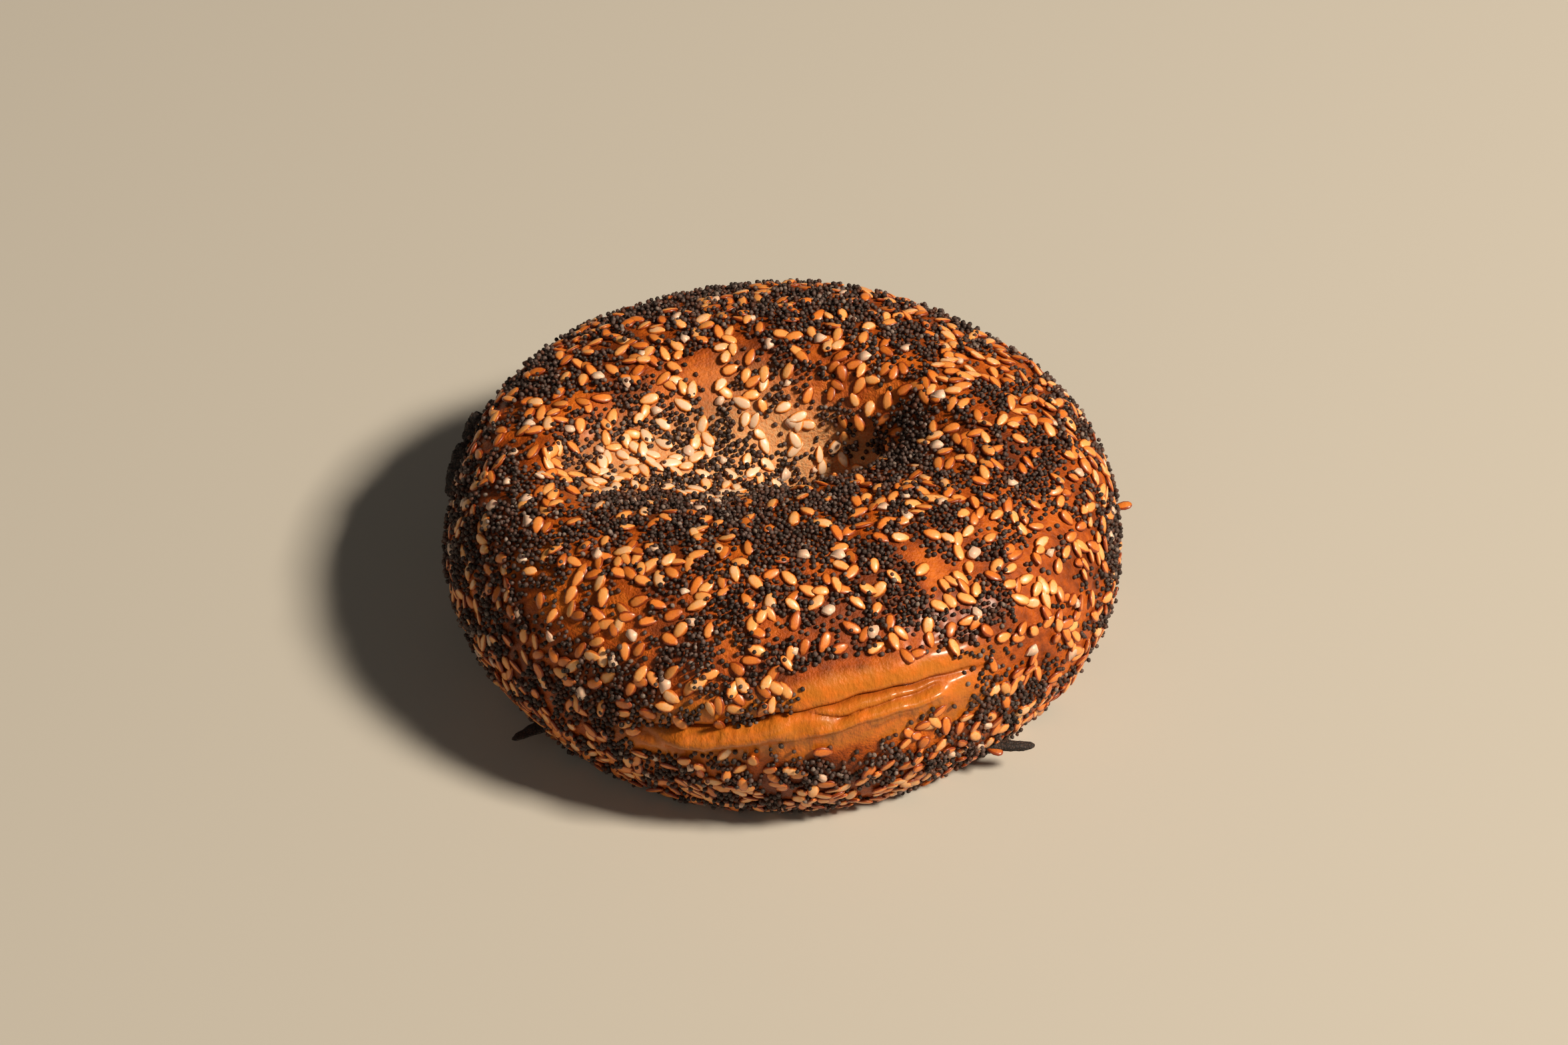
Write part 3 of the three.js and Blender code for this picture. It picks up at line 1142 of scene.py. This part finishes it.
    def _patched(
        self, view: Viewpoint, surface: Surface, ragged: np.ndarray
    ) -> Iterable[tuple[Patch, np.ndarray]]:
        """The patches, each with how far every point that faces the camera lies in it.

        Args:
            view: the camera.
            surface: the dough's points.
            ragged: noise that roughens the patches' edges.

        Yields:
            A patch, and a share from 0 to 1 for each point.
        """
        ray = view.eye - surface.points
        facing = (surface.normals * ray).sum(-1) / np.linalg.norm(ray, axis=-1)
        facing = eased(facing, 0.02, 0.2)
        x, y = view.pixels(surface.points).T
        for patch in self.patches:
            distance = np.hypot((x - patch.x) / patch.width, (y - patch.y) / patch.height)
            yield patch, facing * (1 - eased(distance + 0.25 * ragged, 0.75, 1.15))

    def _relief(self, surface: Surface, soft: np.ndarray) -> np.ndarray:
        """The finest relief: blisters on the crust, and crinkles across the roll.

        Args:
            surface: the dough's points.
            soft: where the dough is stretched, from 0 to 1.

        Returns:
            How far each point moves out, in millimetres.
        """
        flat, above, degrees = surface.points, surface.above, surface.degrees
        blisters = 0.2 * wrapped_noise(flat, 3.4, 5.5) + 0.1 * wrapped_noise(flat, 1.5, 17.2)
        lumps = 0.3 * wrapped_noise(flat, 8, 41.0)
        round_fold = np.radians(degrees) * self.length / 2 / self.crinkle_width
        over = above / (5 * self.crinkle_width)
        along_fold = np.stack([round_fold, over, np.zeros_like(over)], axis=-1)
        crinkles = wrapped_noise(along_fold, 1, 8.8) + 0.5 * wrapped_noise(along_fold, 0.45, 2.2)
        crinkled = soft * (1 - eased(above, -1.5, 0))
        crinkled = crinkled * (1 - 0.55 * eased(degrees, *self.bare_widens))
        inset, varied, most = self.inset
        inset += varied * np.cos(np.radians(degrees - most))
        return (1 - soft) * blisters + lumps + self.crinkle * crinkled * crinkles - inset

    def build(self, view: Viewpoint) -> Any:
        """Makes the dough.

        Args:
            view: the camera, for the patches of toppings.

        Returns:
            The dough's object, with its marks painted on.
        """
        surface = self.surface()
        marks = self._marks(view, surface)
        flat = surface.points
        out = self._relief(surface, marks[Mark.STRETCHED]) * eased(flat[:, 2], 0.2, 4)
        flat = flat + surface.normals * out[:, None]
        flat[:, 2] = np.maximum(flat[:, 2], 0) * (1 - self.sole_lift / self.height)
        flat[:, 2] += self.sole_lift
        mesh = mesh_of("dough", flat, self._faces(), smooth=True)
        for mark, values in marks.items():
            paint(mesh, mark.value, values)
        return object_of(mesh, "dough")

    def _faces(self) -> list[list[int]]:
        """The mesh's faces, closed round the hole and round the section.

        Returns:
            The four corners of each face.
        """
        row = np.arange(self.rows)[:, None]
        column = np.arange(self.columns)[None, :]
        next_row, next_column = (row + 1) % self.rows, (column + 1) % self.columns
        corners = (
            row * self.columns + column,
            row * self.columns + next_column,
            next_row * self.columns + next_column,
            next_row * self.columns + column,
        )
        return np.stack(corners, axis=-1).reshape(-1, 4)[:, ::-1].tolist()


# ---- toppings ----
@dataclass(frozen=True)
class SesameShape:
    """A sesame seed: a flat drop with its tip at -X."""

    length: float
    width: float
    thickness: float
    bend: float = 0.0
    sides: int = 10
    stations: tuple[float, ...] = (0.06, 0.28, 0.58, 0.84, 0.97)
    widest: float = 0.6  # where along it is widest
    tip: float = 0.54  # how blunt the tip is, from 1, sharp, down
    boxiness: float = 2.5  # its section's roundness: 2 is an ellipse

    def _fullness(self, s: float) -> float:
        """Its width at a share of its length, against its greatest.

        Args:
            s: how far along it, from 0 at the tip to 1.

        Returns:
            The share of its greatest width.
        """
        if s < self.widest:
            return math.sin(math.pi / 2 * s / self.widest) ** self.tip
        return math.sqrt(1 - ((s - self.widest) / (1 - self.widest)) ** 2)

    def build(self, name: str) -> Any:
        """Makes the seed's mesh, with attributes along and across it.

        Args:
            name: the mesh's name.

        Returns:
            The mesh.
        """
        points: list[Place] = [(-self.length / 2, 0.0, 0.0)]
        along, across = [0.0], [0.0]
        turns = np.arange(self.sides) / self.sides * 2 * math.pi
        power = self.boxiness
        for s in self.stations:
            full = self._fullness(s)
            for turn in turns:
                side, top = math.cos(turn), math.sin(turn)
                squared = (abs(side) ** power + abs(top) ** power) ** (-1 / power)
                y = side * squared * full * self.width / 2
                y += self.bend * (s - 0.5) ** 2
                z = top * squared * full**0.8 * self.thickness / 2
                points.append(((s - 0.5) * self.length, y, z))
                along.append(s)
                across.append(abs(side))
        points.append((self.length / 2, self.bend / 4, 0.0))
        along.append(1.0)
        across.append(0.0)
        mesh = mesh_of(name, points, self._faces(), smooth=True)
        paint(mesh, "along", along)
        paint(mesh, "across", across)
        return mesh

    def _faces(self) -> list[tuple[int, ...]]:
        """The faces between the stations and at the two ends.

        Returns:
            The corners of each face.
        """
        last = 1 + len(self.stations) * self.sides
        faces: list[tuple[int, ...]] = []
        for i in range(self.sides):
            j = (i + 1) % self.sides
            faces.append((0, 1 + j, 1 + i))
            for k in range(len(self.stations) - 1):
                a, b = 1 + k * self.sides, 1 + (k + 1) * self.sides
                faces.append((a + i, a + j, b + j, b + i))
            faces.append((last - self.sides + i, last - self.sides + j, last))
        return faces


@dataclass(frozen=True)
class PoppyShape:
    """A poppy seed: a round grain, dented on one side."""

    size: float
    flat: float
    dent: float

    def build(self, name: str) -> Any:
        """Makes the grain's mesh.

        Args:
            name: the mesh's name.

        Returns:
            The mesh.
        """
        work = bmesh.new()
        ends = [work.verts.new(end) for end in np.concatenate([np.eye(3), -np.eye(3)])]
        for side, pole in ((1, 2), (-1, 5)):
            for a, b in ((0, 1), (1, 3), (3, 4), (4, 0)):
                work.faces.new((ends[a], ends[b], ends[pole])[::side])
        bmesh.ops.subdivide_edges(work, edges=work.edges[:], cuts=1, use_grid_fill=True)
        for corner in work.verts:
            corner.co.normalize()
            dented = 1 - self.dent * max(0.0, corner.co.x) ** 3
            corner.co *= dented * self.size / 2 * MM
            corner.co.z *= self.flat
        return finished(work, name)


@dataclass(frozen=True)
class BitShape:
    """A bit of dried onion: a flat, angular chip with rounded edges."""

    length: float
    width: float
    thickness: float
    corners: int
    seed: int
    rounding: float = 0.11
    wander: float = 0.28  # most that a corner moves, as a share of a side
    nearest: float = 0.78  # least that a corner reaches out, as a share
    top: float = 0.86  # size of the upper side against the lower
    thinnest: float = 0.7  # share of the thickness

    def build(self, name: str) -> Any:
        """Makes the chip's mesh.

        Args:
            name: the mesh's name.

        Returns:
            The mesh.
        """
        random = np.random.default_rng(self.seed)
        moved = random.uniform(-self.wander, self.wander, self.corners)
        turns = (np.arange(self.corners) + moved) / self.corners
        reach = random.uniform(self.nearest, 1.0, self.corners) / 2
        work = bmesh.new()
        sides = []
        for side, slim in ((-1, 1.0), (1, self.top)):
            edge = []
            for turn, out in zip(turns * 2 * math.pi, reach * slim):
                place = (
                    math.cos(turn) * out * self.length,
                    math.sin(turn) * out * self.width,
                    side * self.thickness / 2 * random.uniform(self.thinnest, 1.0),
                )
                edge.append(work.verts.new(Vector(place) * MM))
            sides.append(edge)
        low, high = sides
        work.faces.new(low[::-1])
        work.faces.new(high)
        for i in range(self.corners):
            j = (i + 1) % self.corners
            work.faces.new((low[i], low[j], high[j], high[i]))
        bevel = {"offset": self.rounding * MM, "segments": 2, "affect": "EDGES"}
        bmesh.ops.bevel(work, geom=work.edges[:], **bevel)
        bmesh.ops.recalc_face_normals(work, faces=work.faces[:])
        return finished(work, name)


@dataclass(frozen=True)
class StandingSeed:
    """A sesame seed that stands out from the side, at a place beside the dough."""

    place: Place  # degrees round the hole, height, distance out
    points_to: Place  # the direction of its round end
    tone: float

    def build(self, dough: Dough, shape: SesameShape) -> Any:
        """Makes the seed's mesh, with its tone painted on.

        Args:
            dough: what it stands beside.
            shape: the seed's form.

        Returns:
            The mesh.
        """
        mesh = shape.build("standing")
        turn = Vector(self.points_to).to_track_quat("X", "Z").to_matrix().to_4x4()
        mesh.transform(Matrix.Translation(dough.beside(self.place) * MM) @ turn)
        paint(mesh, "tone", [self.tone] * len(mesh.vertices))
        return mesh


@dataclass(frozen=True)
class Scatter:
    """One kind of topping, strewn over the dough by a Geometry Nodes tree."""

    name: str
    cover: Mark
    spacing: float  # least distance between two
    crowd: float  # how many are tried for each square millimetre
    seed: int
    lift: float  # height of their middles over the dough
    lift_spread: float  # how much more it is for some
    pressed_lift: float  # the same, on the sole
    smallest: float
    largest: float
    lean: float  # most that one leans, in radians
    tone: float  # middle of the tone, from 0 to 1
    tone_spread: float
    tone_sheltered: float  # how much paler the tone is in the hollow
    lowest: float  # least height of their middles over the floor
    clearance: float = 0.0  # distance kept from what lies there already
    share: Span = (0.0, 1.0)  # which of them this piece keeps

    def _inputs(self, kinds: Any, already: Any, by_hand: Any) -> dict[str, tuple[str, Any]]:
        """Gathers the tree's inputs.

        Args:
            kinds: the collection of shapes.
            already: the collection of what lies there already.
            by_hand: the collection of what is placed one by one.

        Returns:
            Each input's name, with its socket's type and its value.
        """
        return {
            "Kinds": ("Collection", kinds),
            "Already there": ("Collection", already),
            "Placed by hand": ("Collection", by_hand),
            "Spacing": ("Float", self.spacing * MM),
            "Crowd": ("Float", self.crowd / MM**2),
            "Clearance": ("Float", self.clearance * MM if already else -1.0),
            "Lift": ("Float", self.lift * MM),
            "Lift spread": ("Float", self.lift_spread * MM),
            "Pressed lift": ("Float", self.pressed_lift * MM),
            "Smallest": ("Float", self.smallest),
            "Largest": ("Float", self.largest),
            "Lean": ("Float", self.lean),
            "Tone": ("Float", self.tone),
            "Tone spread": ("Float", self.tone_spread),
            "Sheltered tone": ("Float", self.tone_sheltered),
            "Lowest": ("Float", self.lowest * MM),
            "Share from": ("Float", self.share[0]),
            "Share to": ("Float", self.share[1]),
            "Seed": ("Int", self.seed),
        }

    def _tree(self, types: dict[str, str], material: Any) -> bpy.types.NodeTree:
        """Builds the tree.

        Args:
            types: the type of each named input.
            material: what the toppings are dressed in.

        Returns:
            The tree.
        """
        tree = bpy.data.node_groups.new(self.name, "GeometryNodeTree")
        for name, kind in types.items():
            tree.interface.new_socket(name, in_out="INPUT", socket_type=f"NodeSocket{kind}")
        tree.interface.new_socket("Geometry", in_out="OUTPUT", socket_type="NodeSocketGeometry")
        g = Graph(tree)
        entry = g.node("NodeGroupInput")
        size = {name: Value(g, entry.outputs[name]) for name in types}

        def named(name: str, kind: str = "FLOAT") -> Value:
            """An attribute of the dough or of the points."""
            inputs = {"Name": name}
            return g.number("GeometryNodeInputNamedAttribute", "Attribute", inputs, data_type=kind)

        def random(low: Any, high: Any, offset: int) -> Value:
            """A random number for each topping, with its own stream."""
            inputs = {"Min": low, "Max": high, "Seed": size["Seed"] + offset}
            return g.number("FunctionNodeRandomValue", "Value", inputs)

        def change(kind: str, geometry: Any, inputs: dict[str, Any], **settings: Any) -> Any:
            """The geometry after a node that takes it and gives it back."""
            return g.link(kind, "Geometry", {"Geometry": geometry, **inputs}, **settings)

        def without(points: Any, condition: Value) -> Any:
            """The points that don't meet a condition."""
            inputs = {"Selection": condition}
            return change("GeometryNodeDeleteGeometry", points, inputs, domain="POINT")

        def stored(geometry: Any, name: str, value: Any, kind: str, domain: str) -> Any:
            """Stores an attribute.

            Args:
                geometry: what gets it.
                name: its name.
                value: its value.
                kind: its data type.
                domain: what each value is for.

            Returns:
                The new geometry.
            """
            inputs = {"Name": name, "Value": value}
            node = "GeometryNodeStoreNamedAttribute"
            return change(node, geometry, inputs, data_type=kind, domain=domain)

        def members(name: str, apart: bool = False) -> Any:
            """A collection's objects as instances, each apart or all as one."""
            inputs = {"Collection": size[name], "Separate Children": apart, "Reset Children": apart}
            return g.link("GeometryNodeCollectionInfo", "Instances", inputs)

        def vector(**parts: Any) -> Any:
            """A vector of X, Y and Z."""
            return g.link("ShaderNodeCombineXYZ", "Vector", parts)

        strewn = g.node(
            "GeometryNodeDistributePointsOnFaces",
            {
                "Mesh": size["Geometry"],
                "Distance Min": size["Spacing"],
                "Density Max": size["Crowd"],
                "Density Factor": named(self.cover.value),
                "Seed": size["Seed"],
            },
            distribute_method="POISSON",
        )
        direction = strewn.outputs["Rotation"]
        points = stored(strewn.outputs["Points"], "stand", direction, "QUATERNION", "POINT")
        there = g.link("GeometryNodeRealizeInstances", "Geometry", {0: members("Already there")})
        near = g.number("GeometryNodeProximity", "Distance", {0: there})
        points = without(points, near < size["Clearance"])
        pick = random(0.0, 1.0, 5)
        points = without(points, (pick < size["Share from"]) + (pick > size["Share to"]))

        stand, pressed = named("stand", "QUATERNION"), named(Mark.PRESSED.value)
        lean = size["Lean"] * (1 - pressed * 0.9)
        x, y = (random(lean * -1, lean, axis) for axis in (1, 2))
        tilt = vector(X=x, Y=y, Z=random(0.0, 2 * math.pi, 3))
        spin = g.link("FunctionNodeEulerToRotation", "Rotation", {"Euler": tilt})
        inputs = {"Rotation": stand, "Rotate By": spin}
        turned = g.link("FunctionNodeRotateRotation", "Rotation", inputs, rotation_space="LOCAL")
        free = size["Lift"] + random(0.0, size["Lift spread"], 7)
        lift = free + (size["Pressed lift"] - free) * pressed
        inputs = {"Vector": vector(Z=lift), "Rotation": stand}
        offset = g.link("FunctionNodeRotateVector", "Vector", inputs)
        points = change("GeometryNodeSetPosition", points, {"Offset": offset})
        here = g.link("GeometryNodeInputPosition", "Position")
        height = g.number("ShaderNodeSeparateXYZ", "Z", {"Vector": here})
        placed = g.link(
            "GeometryNodeInstanceOnPoints",
            "Instances",
            {
                "Points": without(points, height < size["Lowest"]),
                "Instance": members("Kinds", apart=True),
                "Pick Instance": True,
                "Rotation": turned,
                "Scale": random(size["Smallest"], size["Largest"], 4),
            },
        )
        spread = random(size["Tone spread"] * -1, size["Tone spread"], 6)
        hollow = named(Mark.SHELTERED.value) * size["Sheltered tone"]
        tone = (size["Tone"] + spread - hollow).clamped()
        toned = stored(placed, "tone", tone, "FLOAT", "INSTANCE")
        joined = g.node("GeometryNodeJoinGeometry", {0: members("Placed by hand")})
        g.fill(joined.inputs[0], toned)
        real = g.link("GeometryNodeRealizeInstances", "Geometry", {0: joined.outputs[0]})
        inputs = {0: here, 1: (-1.0, -1.0, 0.0)}
        no_lower = g.link("ShaderNodeVectorMath", "Vector", inputs, operation="MAXIMUM")
        settled = change("GeometryNodeSetPosition", real, {"Position": no_lower})
        dressed = change("GeometryNodeSetMaterial", settled, {"Material": material})
        g.node("NodeGroupOutput", {"Geometry": dressed})
        return tree

    def build(
        self, dough: Any, kinds: Any, material: Any, already: Any = None, by_hand: Any = None
    ) -> Any:
        """Strews the toppings.

        Args:
            dough: what they lie on.
            kinds: the collection of their shapes.
            material: what they are dressed in.
            already: the collection of toppings that they keep clear of.
            by_hand: the collection of toppings that lie in place and join the rest.

        Returns:
            The toppings as one plain mesh.
        """
        inputs = self._inputs(kinds, already, by_hand)
        types = {"Geometry": "Geometry"} | {name: kind for name, (kind, _) in inputs.items()}
        base = object_of(dough.data, f"{self.name}_base")
        modifier = base.modifiers.new("strew", "NODES")
        modifier.node_group = self._tree(types, material)
        for item in modifier.node_group.interface.items_tree:
            if item.name in inputs:
                modifier[item.identifier] = inputs[item.name][1]
        graph = bpy.context.evaluated_depsgraph_get()
        mesh = bpy.data.meshes.new_from_object(
            base.evaluated_get(graph), preserve_all_data_layers=True, depsgraph=graph
        )
        bpy.data.objects.remove(base)
        mesh.name = self.name
        if "stand" in mesh.attributes:
            mesh.attributes.remove(mesh.attributes["stand"])
        return object_of(mesh, self.name)


class PoppyShade(Enum):
    """The shades of poppy seed: the share of all they take, from and to, and two colours."""

    NIGHT = (0.0, 0.4, (0.015, 0.0065, 0.0035), (0.052, 0.028, 0.022))
    SLATE = (0.4, 0.7, (0.041, 0.020, 0.014), (0.150, 0.096, 0.084))
    BROWN = (0.7, 0.94, (0.041, 0.0115, 0.005), (0.128, 0.042, 0.019))
    PALE = (0.94, 1.0, (0.125, 0.088, 0.068), (0.310, 0.234, 0.204))


@dataclass
class Toppings:
    """Everything that is strewn over the dough."""

    sesame_shapes: tuple[SesameShape, ...] = (
        SesameShape(3.05, 1.95, 0.68),
        SesameShape(3.25, 1.85, 0.62, bend=0.35),
        SesameShape(2.85, 2.0, 0.74, bend=-0.25),
    )
    poppy_shapes: tuple[PoppyShape, ...] = (
        PoppyShape(0.92, 0.88, 0.2),
        PoppyShape(0.86, 0.8, 0.34),
        PoppyShape(0.98, 0.84, 0.28),
    )
    bit_shapes: tuple[BitShape, ...] = (
        BitShape(3.5, 2.3, 0.7, corners=5, seed=1),
        BitShape(3.0, 2.4, 0.8, corners=6, seed=2),
        BitShape(2.9, 2.2, 0.7, corners=4, seed=3),
    )
    standing: tuple[StandingSeed, ...] = (
        StandingSeed((2.0, 17.5, 1.2), (1.0, 0.1, 0.15), 0.7),
        StandingSeed((-57.9, 5.9, -1.8), (1.0, -0.5, -0.1), 0.95),
    )
    sesame: Scatter = Scatter(
        name="sesame_seeds",
        cover=Mark.SESAME,
        spacing=1.25,
        crowd=0.3,
        seed=11,
        lift=0.22,
        lift_spread=0.35,
        pressed_lift=-0.22,
        smallest=0.88,
        largest=1.1,
        lean=0.28,
        tone=0.55,
        tone_spread=0.3,
        tone_sheltered=0.52,
        lowest=0.42,
    )
    bits: Scatter = Scatter(
        name="onion_bits",
        cover=Mark.BITS,
        spacing=4.0,
        crowd=0.02,
        seed=23,
        lift=0.4,
        lift_spread=0.2,
        pressed_lift=-0.3,
        smallest=0.7,
        largest=1.1,
        lean=0.22,
        tone=0.4,
        tone_spread=0.4,
        tone_sheltered=0.2,
        lowest=0.5,
        clearance=0.15,
    )
    poppy: Scatter = Scatter(
        name="poppy",
        cover=Mark.POPPY,
        spacing=0.7,
        crowd=7.0,
        seed=37,
        lift=0.14,
        lift_spread=0.22,
        pressed_lift=-0.17,
        smallest=0.84,
        largest=1.08,
        lean=3.1,
        tone=0.5,
        tone_spread=0.5,
        tone_sheltered=0.0,
        lowest=0.44,
        clearance=0.32,
    )
    pile: Scatter = field(init=False)

    def __post_init__(self) -> None:
        """The second layer of poppy seeds lies on the first."""
        second = {"cover": Mark.PILE, "lift": 0.72, "crowd": 2.0, "seed": 53, "spacing": 0.85}
        self.pile = replace(self.poppy, name="poppy_pile", clearance=0.2, **second)

    def build(self, shape: Dough, dough: Any) -> None:
        """Strews all of them over the dough.

        Args:
            shape: the dough's form, for the seeds that are placed one by one.
            dough: its object, with the marks painted on.
        """

        def kinds(name: str, shapes: Sequence[Any]) -> Any:
            """The shapes of one topping, built and gathered."""
            return gathered(name, [s.build(f"{name}_{i}") for i, s in enumerate(shapes)])

        sesame_kinds = kinds("sesame_kind", self.sesame_shapes)
        upright = [seed.build(shape, self.sesame_shapes[0]) for seed in self.standing]
        standing = gathered("standing_seeds", upright)
        finish = SesameFinish().build()
        sesame = self.sesame.build(dough, sesame_kinds, finish, by_hand=standing)
        attach(sesame)
        seeds = gathered("seeds", [sesame.data])
        bit_kinds = kinds("bit_kind", self.bit_shapes)
        bits = self.bits.build(dough, bit_kinds, OnionBitFinish().build(), already=seeds)
        attach(bits)
        coarse = gathered("coarse", [sesame.data, bits.data])
        poppy_kinds = kinds("poppy_kind", self.poppy_shapes)
        for shade in PoppyShade:
            low, high, dark, light = shade.value
            material = PoppyFinish(f"poppy_{shade.name.lower()}", dark, light).build()
            for layer in (self.poppy, self.pile):
                name = f"{layer.name}_{shade.name.lower()}"
                part = replace(layer, name=name, share=(low, high))
                attach(part.build(dough, poppy_kinds, material, already=coarse))


@dataclass(frozen=True)
class CharredPiece:
    """A burnt piece of onion between two places beside the dough."""

    name: str
    start: Place  # degrees round the hole, height, distance out from the widest outline
    end: Place
    width: float
    thickness: float
    taper: float  # width at the far end, as a share
    grain: float  # depth of its crumbly surface
    boxed: float = 0.55  # how far it goes from a ball to a block
    lump: float = 1.3  # width of its lumps
    crumb: float = 0.35  # width of its crumbs
    crumb_share: float = 0.55  # depth of the crumbs against the lumps

    def _corner(self, corner: Any, length: float) -> Vector:
        """Where a corner of the unit ball goes, with the piece along X.

        Args:
            corner: a corner of the unit ball.
            length: the piece's length, in millimetres.

        Returns:
            The corner's place, in millimetres.
        """
        x, y, z = corner.co
        slim = 1 + (self.taper - 1) * (x + 1) / 2
        block = (abs(x) ** 4 + abs(y) ** 4 + abs(z) ** 4) ** -0.25
        size = Vector((length / 2, self.width / 2 * slim, self.thickness / 2 * slim))
        point = corner.co * (1 + self.boxed * (block - 1))
        point = Vector(a * b for a, b in zip(point, size))
        lumps = noise.noise(point / self.lump + Vector((self.width, 0, 0)))
        crumbs = noise.noise(point / self.crumb)
        return point + corner.normal * self.grain * (lumps + self.crumb_share * crumbs)

    def build(self, dough: Dough, material: Any) -> None:
        """Makes the piece and attaches it.

        Args:
            dough: what it lies beside.
            material: what it is dressed in.
        """
        start, end = (dough.beside(place) for place in (self.start, self.end))
        along = end - start
        turn = along.to_track_quat("X", "Z").to_matrix().to_4x4()
        work = bmesh.new()
        bmesh.ops.create_icosphere(work, subdivisions=5, radius=1)
        for corner in work.verts:
            corner.co = self._corner(corner, along.length)
        bmesh.ops.transform(work, matrix=turn, verts=work.verts[:])
        bmesh.ops.translate(work, vec=(start + end) / 2, verts=work.verts[:])
        bmesh.ops.scale(work, vec=(MM, MM, MM), verts=work.verts[:])
        mesh = finished(work, self.name)
        mesh.materials.append(material)
        attach(object_of(mesh, self.name))


@dataclass
class CharredOnion:
    """The burnt pieces of onion at the bagel's sides."""

    pieces: tuple[CharredPiece, ...] = (
        CharredPiece("charred_clump", (178, 18.4, -0.4), (171.6, 25.4, -0.7), 4.6, 4.2, 0.85, 0.5),
        CharredPiece("charred_clump_above", (171, 23.6, -1.5), (167, 27.6, -1.5), 4.4, 4.0, 0.8, 0.5),
        CharredPiece("charred_stick", (-60, 6, -4), (-51.4, 6, 1.8), 1.9, 1.4, 0.9, 0.14),
        CharredPiece("charred_flake", (-141, 6, -5), (-142.4, 5.4, 2.6), 3.2, 0.9, 0.45, 0.16),
    )

    def build(self, dough: Dough) -> None:
        """Makes them and attaches them.

        Args:
            dough: what they lie beside.
        """
        char = CharFinish().build()
        for piece in self.pieces:
            piece.build(dough, char)


# ---- studio ----
@dataclass(frozen=True)
class Softbox:
    """A square lamp that faces the bagel."""

    name: str
    place: Place  # in metres
    size: float  # in metres
    power: float
    colour: Colour

    def build(self) -> None:
        """Makes the lamp."""
        data = bpy.data.lights.new(self.name, "AREA")
        data.size = self.size
        data.energy = self.power
        data.color = self.colour
        lamp = bpy.data.objects.new(self.name, data)
        lamp.location = self.place
        lamp.rotation_euler = Vector(self.place).to_track_quat("Z", "Y").to_euler()
        bpy.context.scene.collection.objects.link(lamp)


@dataclass
class Studio:
    """A pale floor, soft lamps and an even sky."""

    floor_size: float = 6000.0
    sky: Colour = (1.0, 0.95, 0.88)
    sky_strength: float = 0.045
    lamps: tuple[Softbox, ...] = (
        Softbox("key", (1.35, -0.42, 1.5), 0.36, 71.0, (1.0, 0.86, 0.68)),
        Softbox("fill", (-0.9, -1.6, 1.5), 1.8, 5.0, (1.0, 0.90, 0.76)),
    )

    def build(self) -> None:
        """Makes the studio."""
        half = self.floor_size / 2
        corners = [(-half, -half, 0), (half, -half, 0), (half, half, 0), (-half, half, 0)]
        floor = object_of(mesh_of("floor", corners, [(0, 1, 2, 3)], smooth=False), "floor")
        floor.data.materials.append(FloorFinish().build())
        world = bpy.data.worlds.new("sky")
        world.use_nodes = True
        background = world.node_tree.nodes["Background"]
        background.inputs["Color"].default_value = (*self.sky, 1)
        background.inputs["Strength"].default_value = self.sky_strength
        scene = bpy.context.scene
        scene.world = world
        scene.view_settings.view_transform = "Standard"
        for lamp in self.lamps:
            lamp.build()


def main() -> None:
    """Builds the bagel and its studio."""
    view = Viewpoint()
    view.build()
    Studio().build()
    shape = Dough()
    dough = shape.build(view)
    dough.data.materials.append(CrustFinish().build())
    attach(dough)
    Toppings().build(shape, dough)
    CharredOnion().build(shape)


if __name__ == "__main__":
    logging.basicConfig(level=logging.INFO, format="%(name)s: %(message)s")
    main()
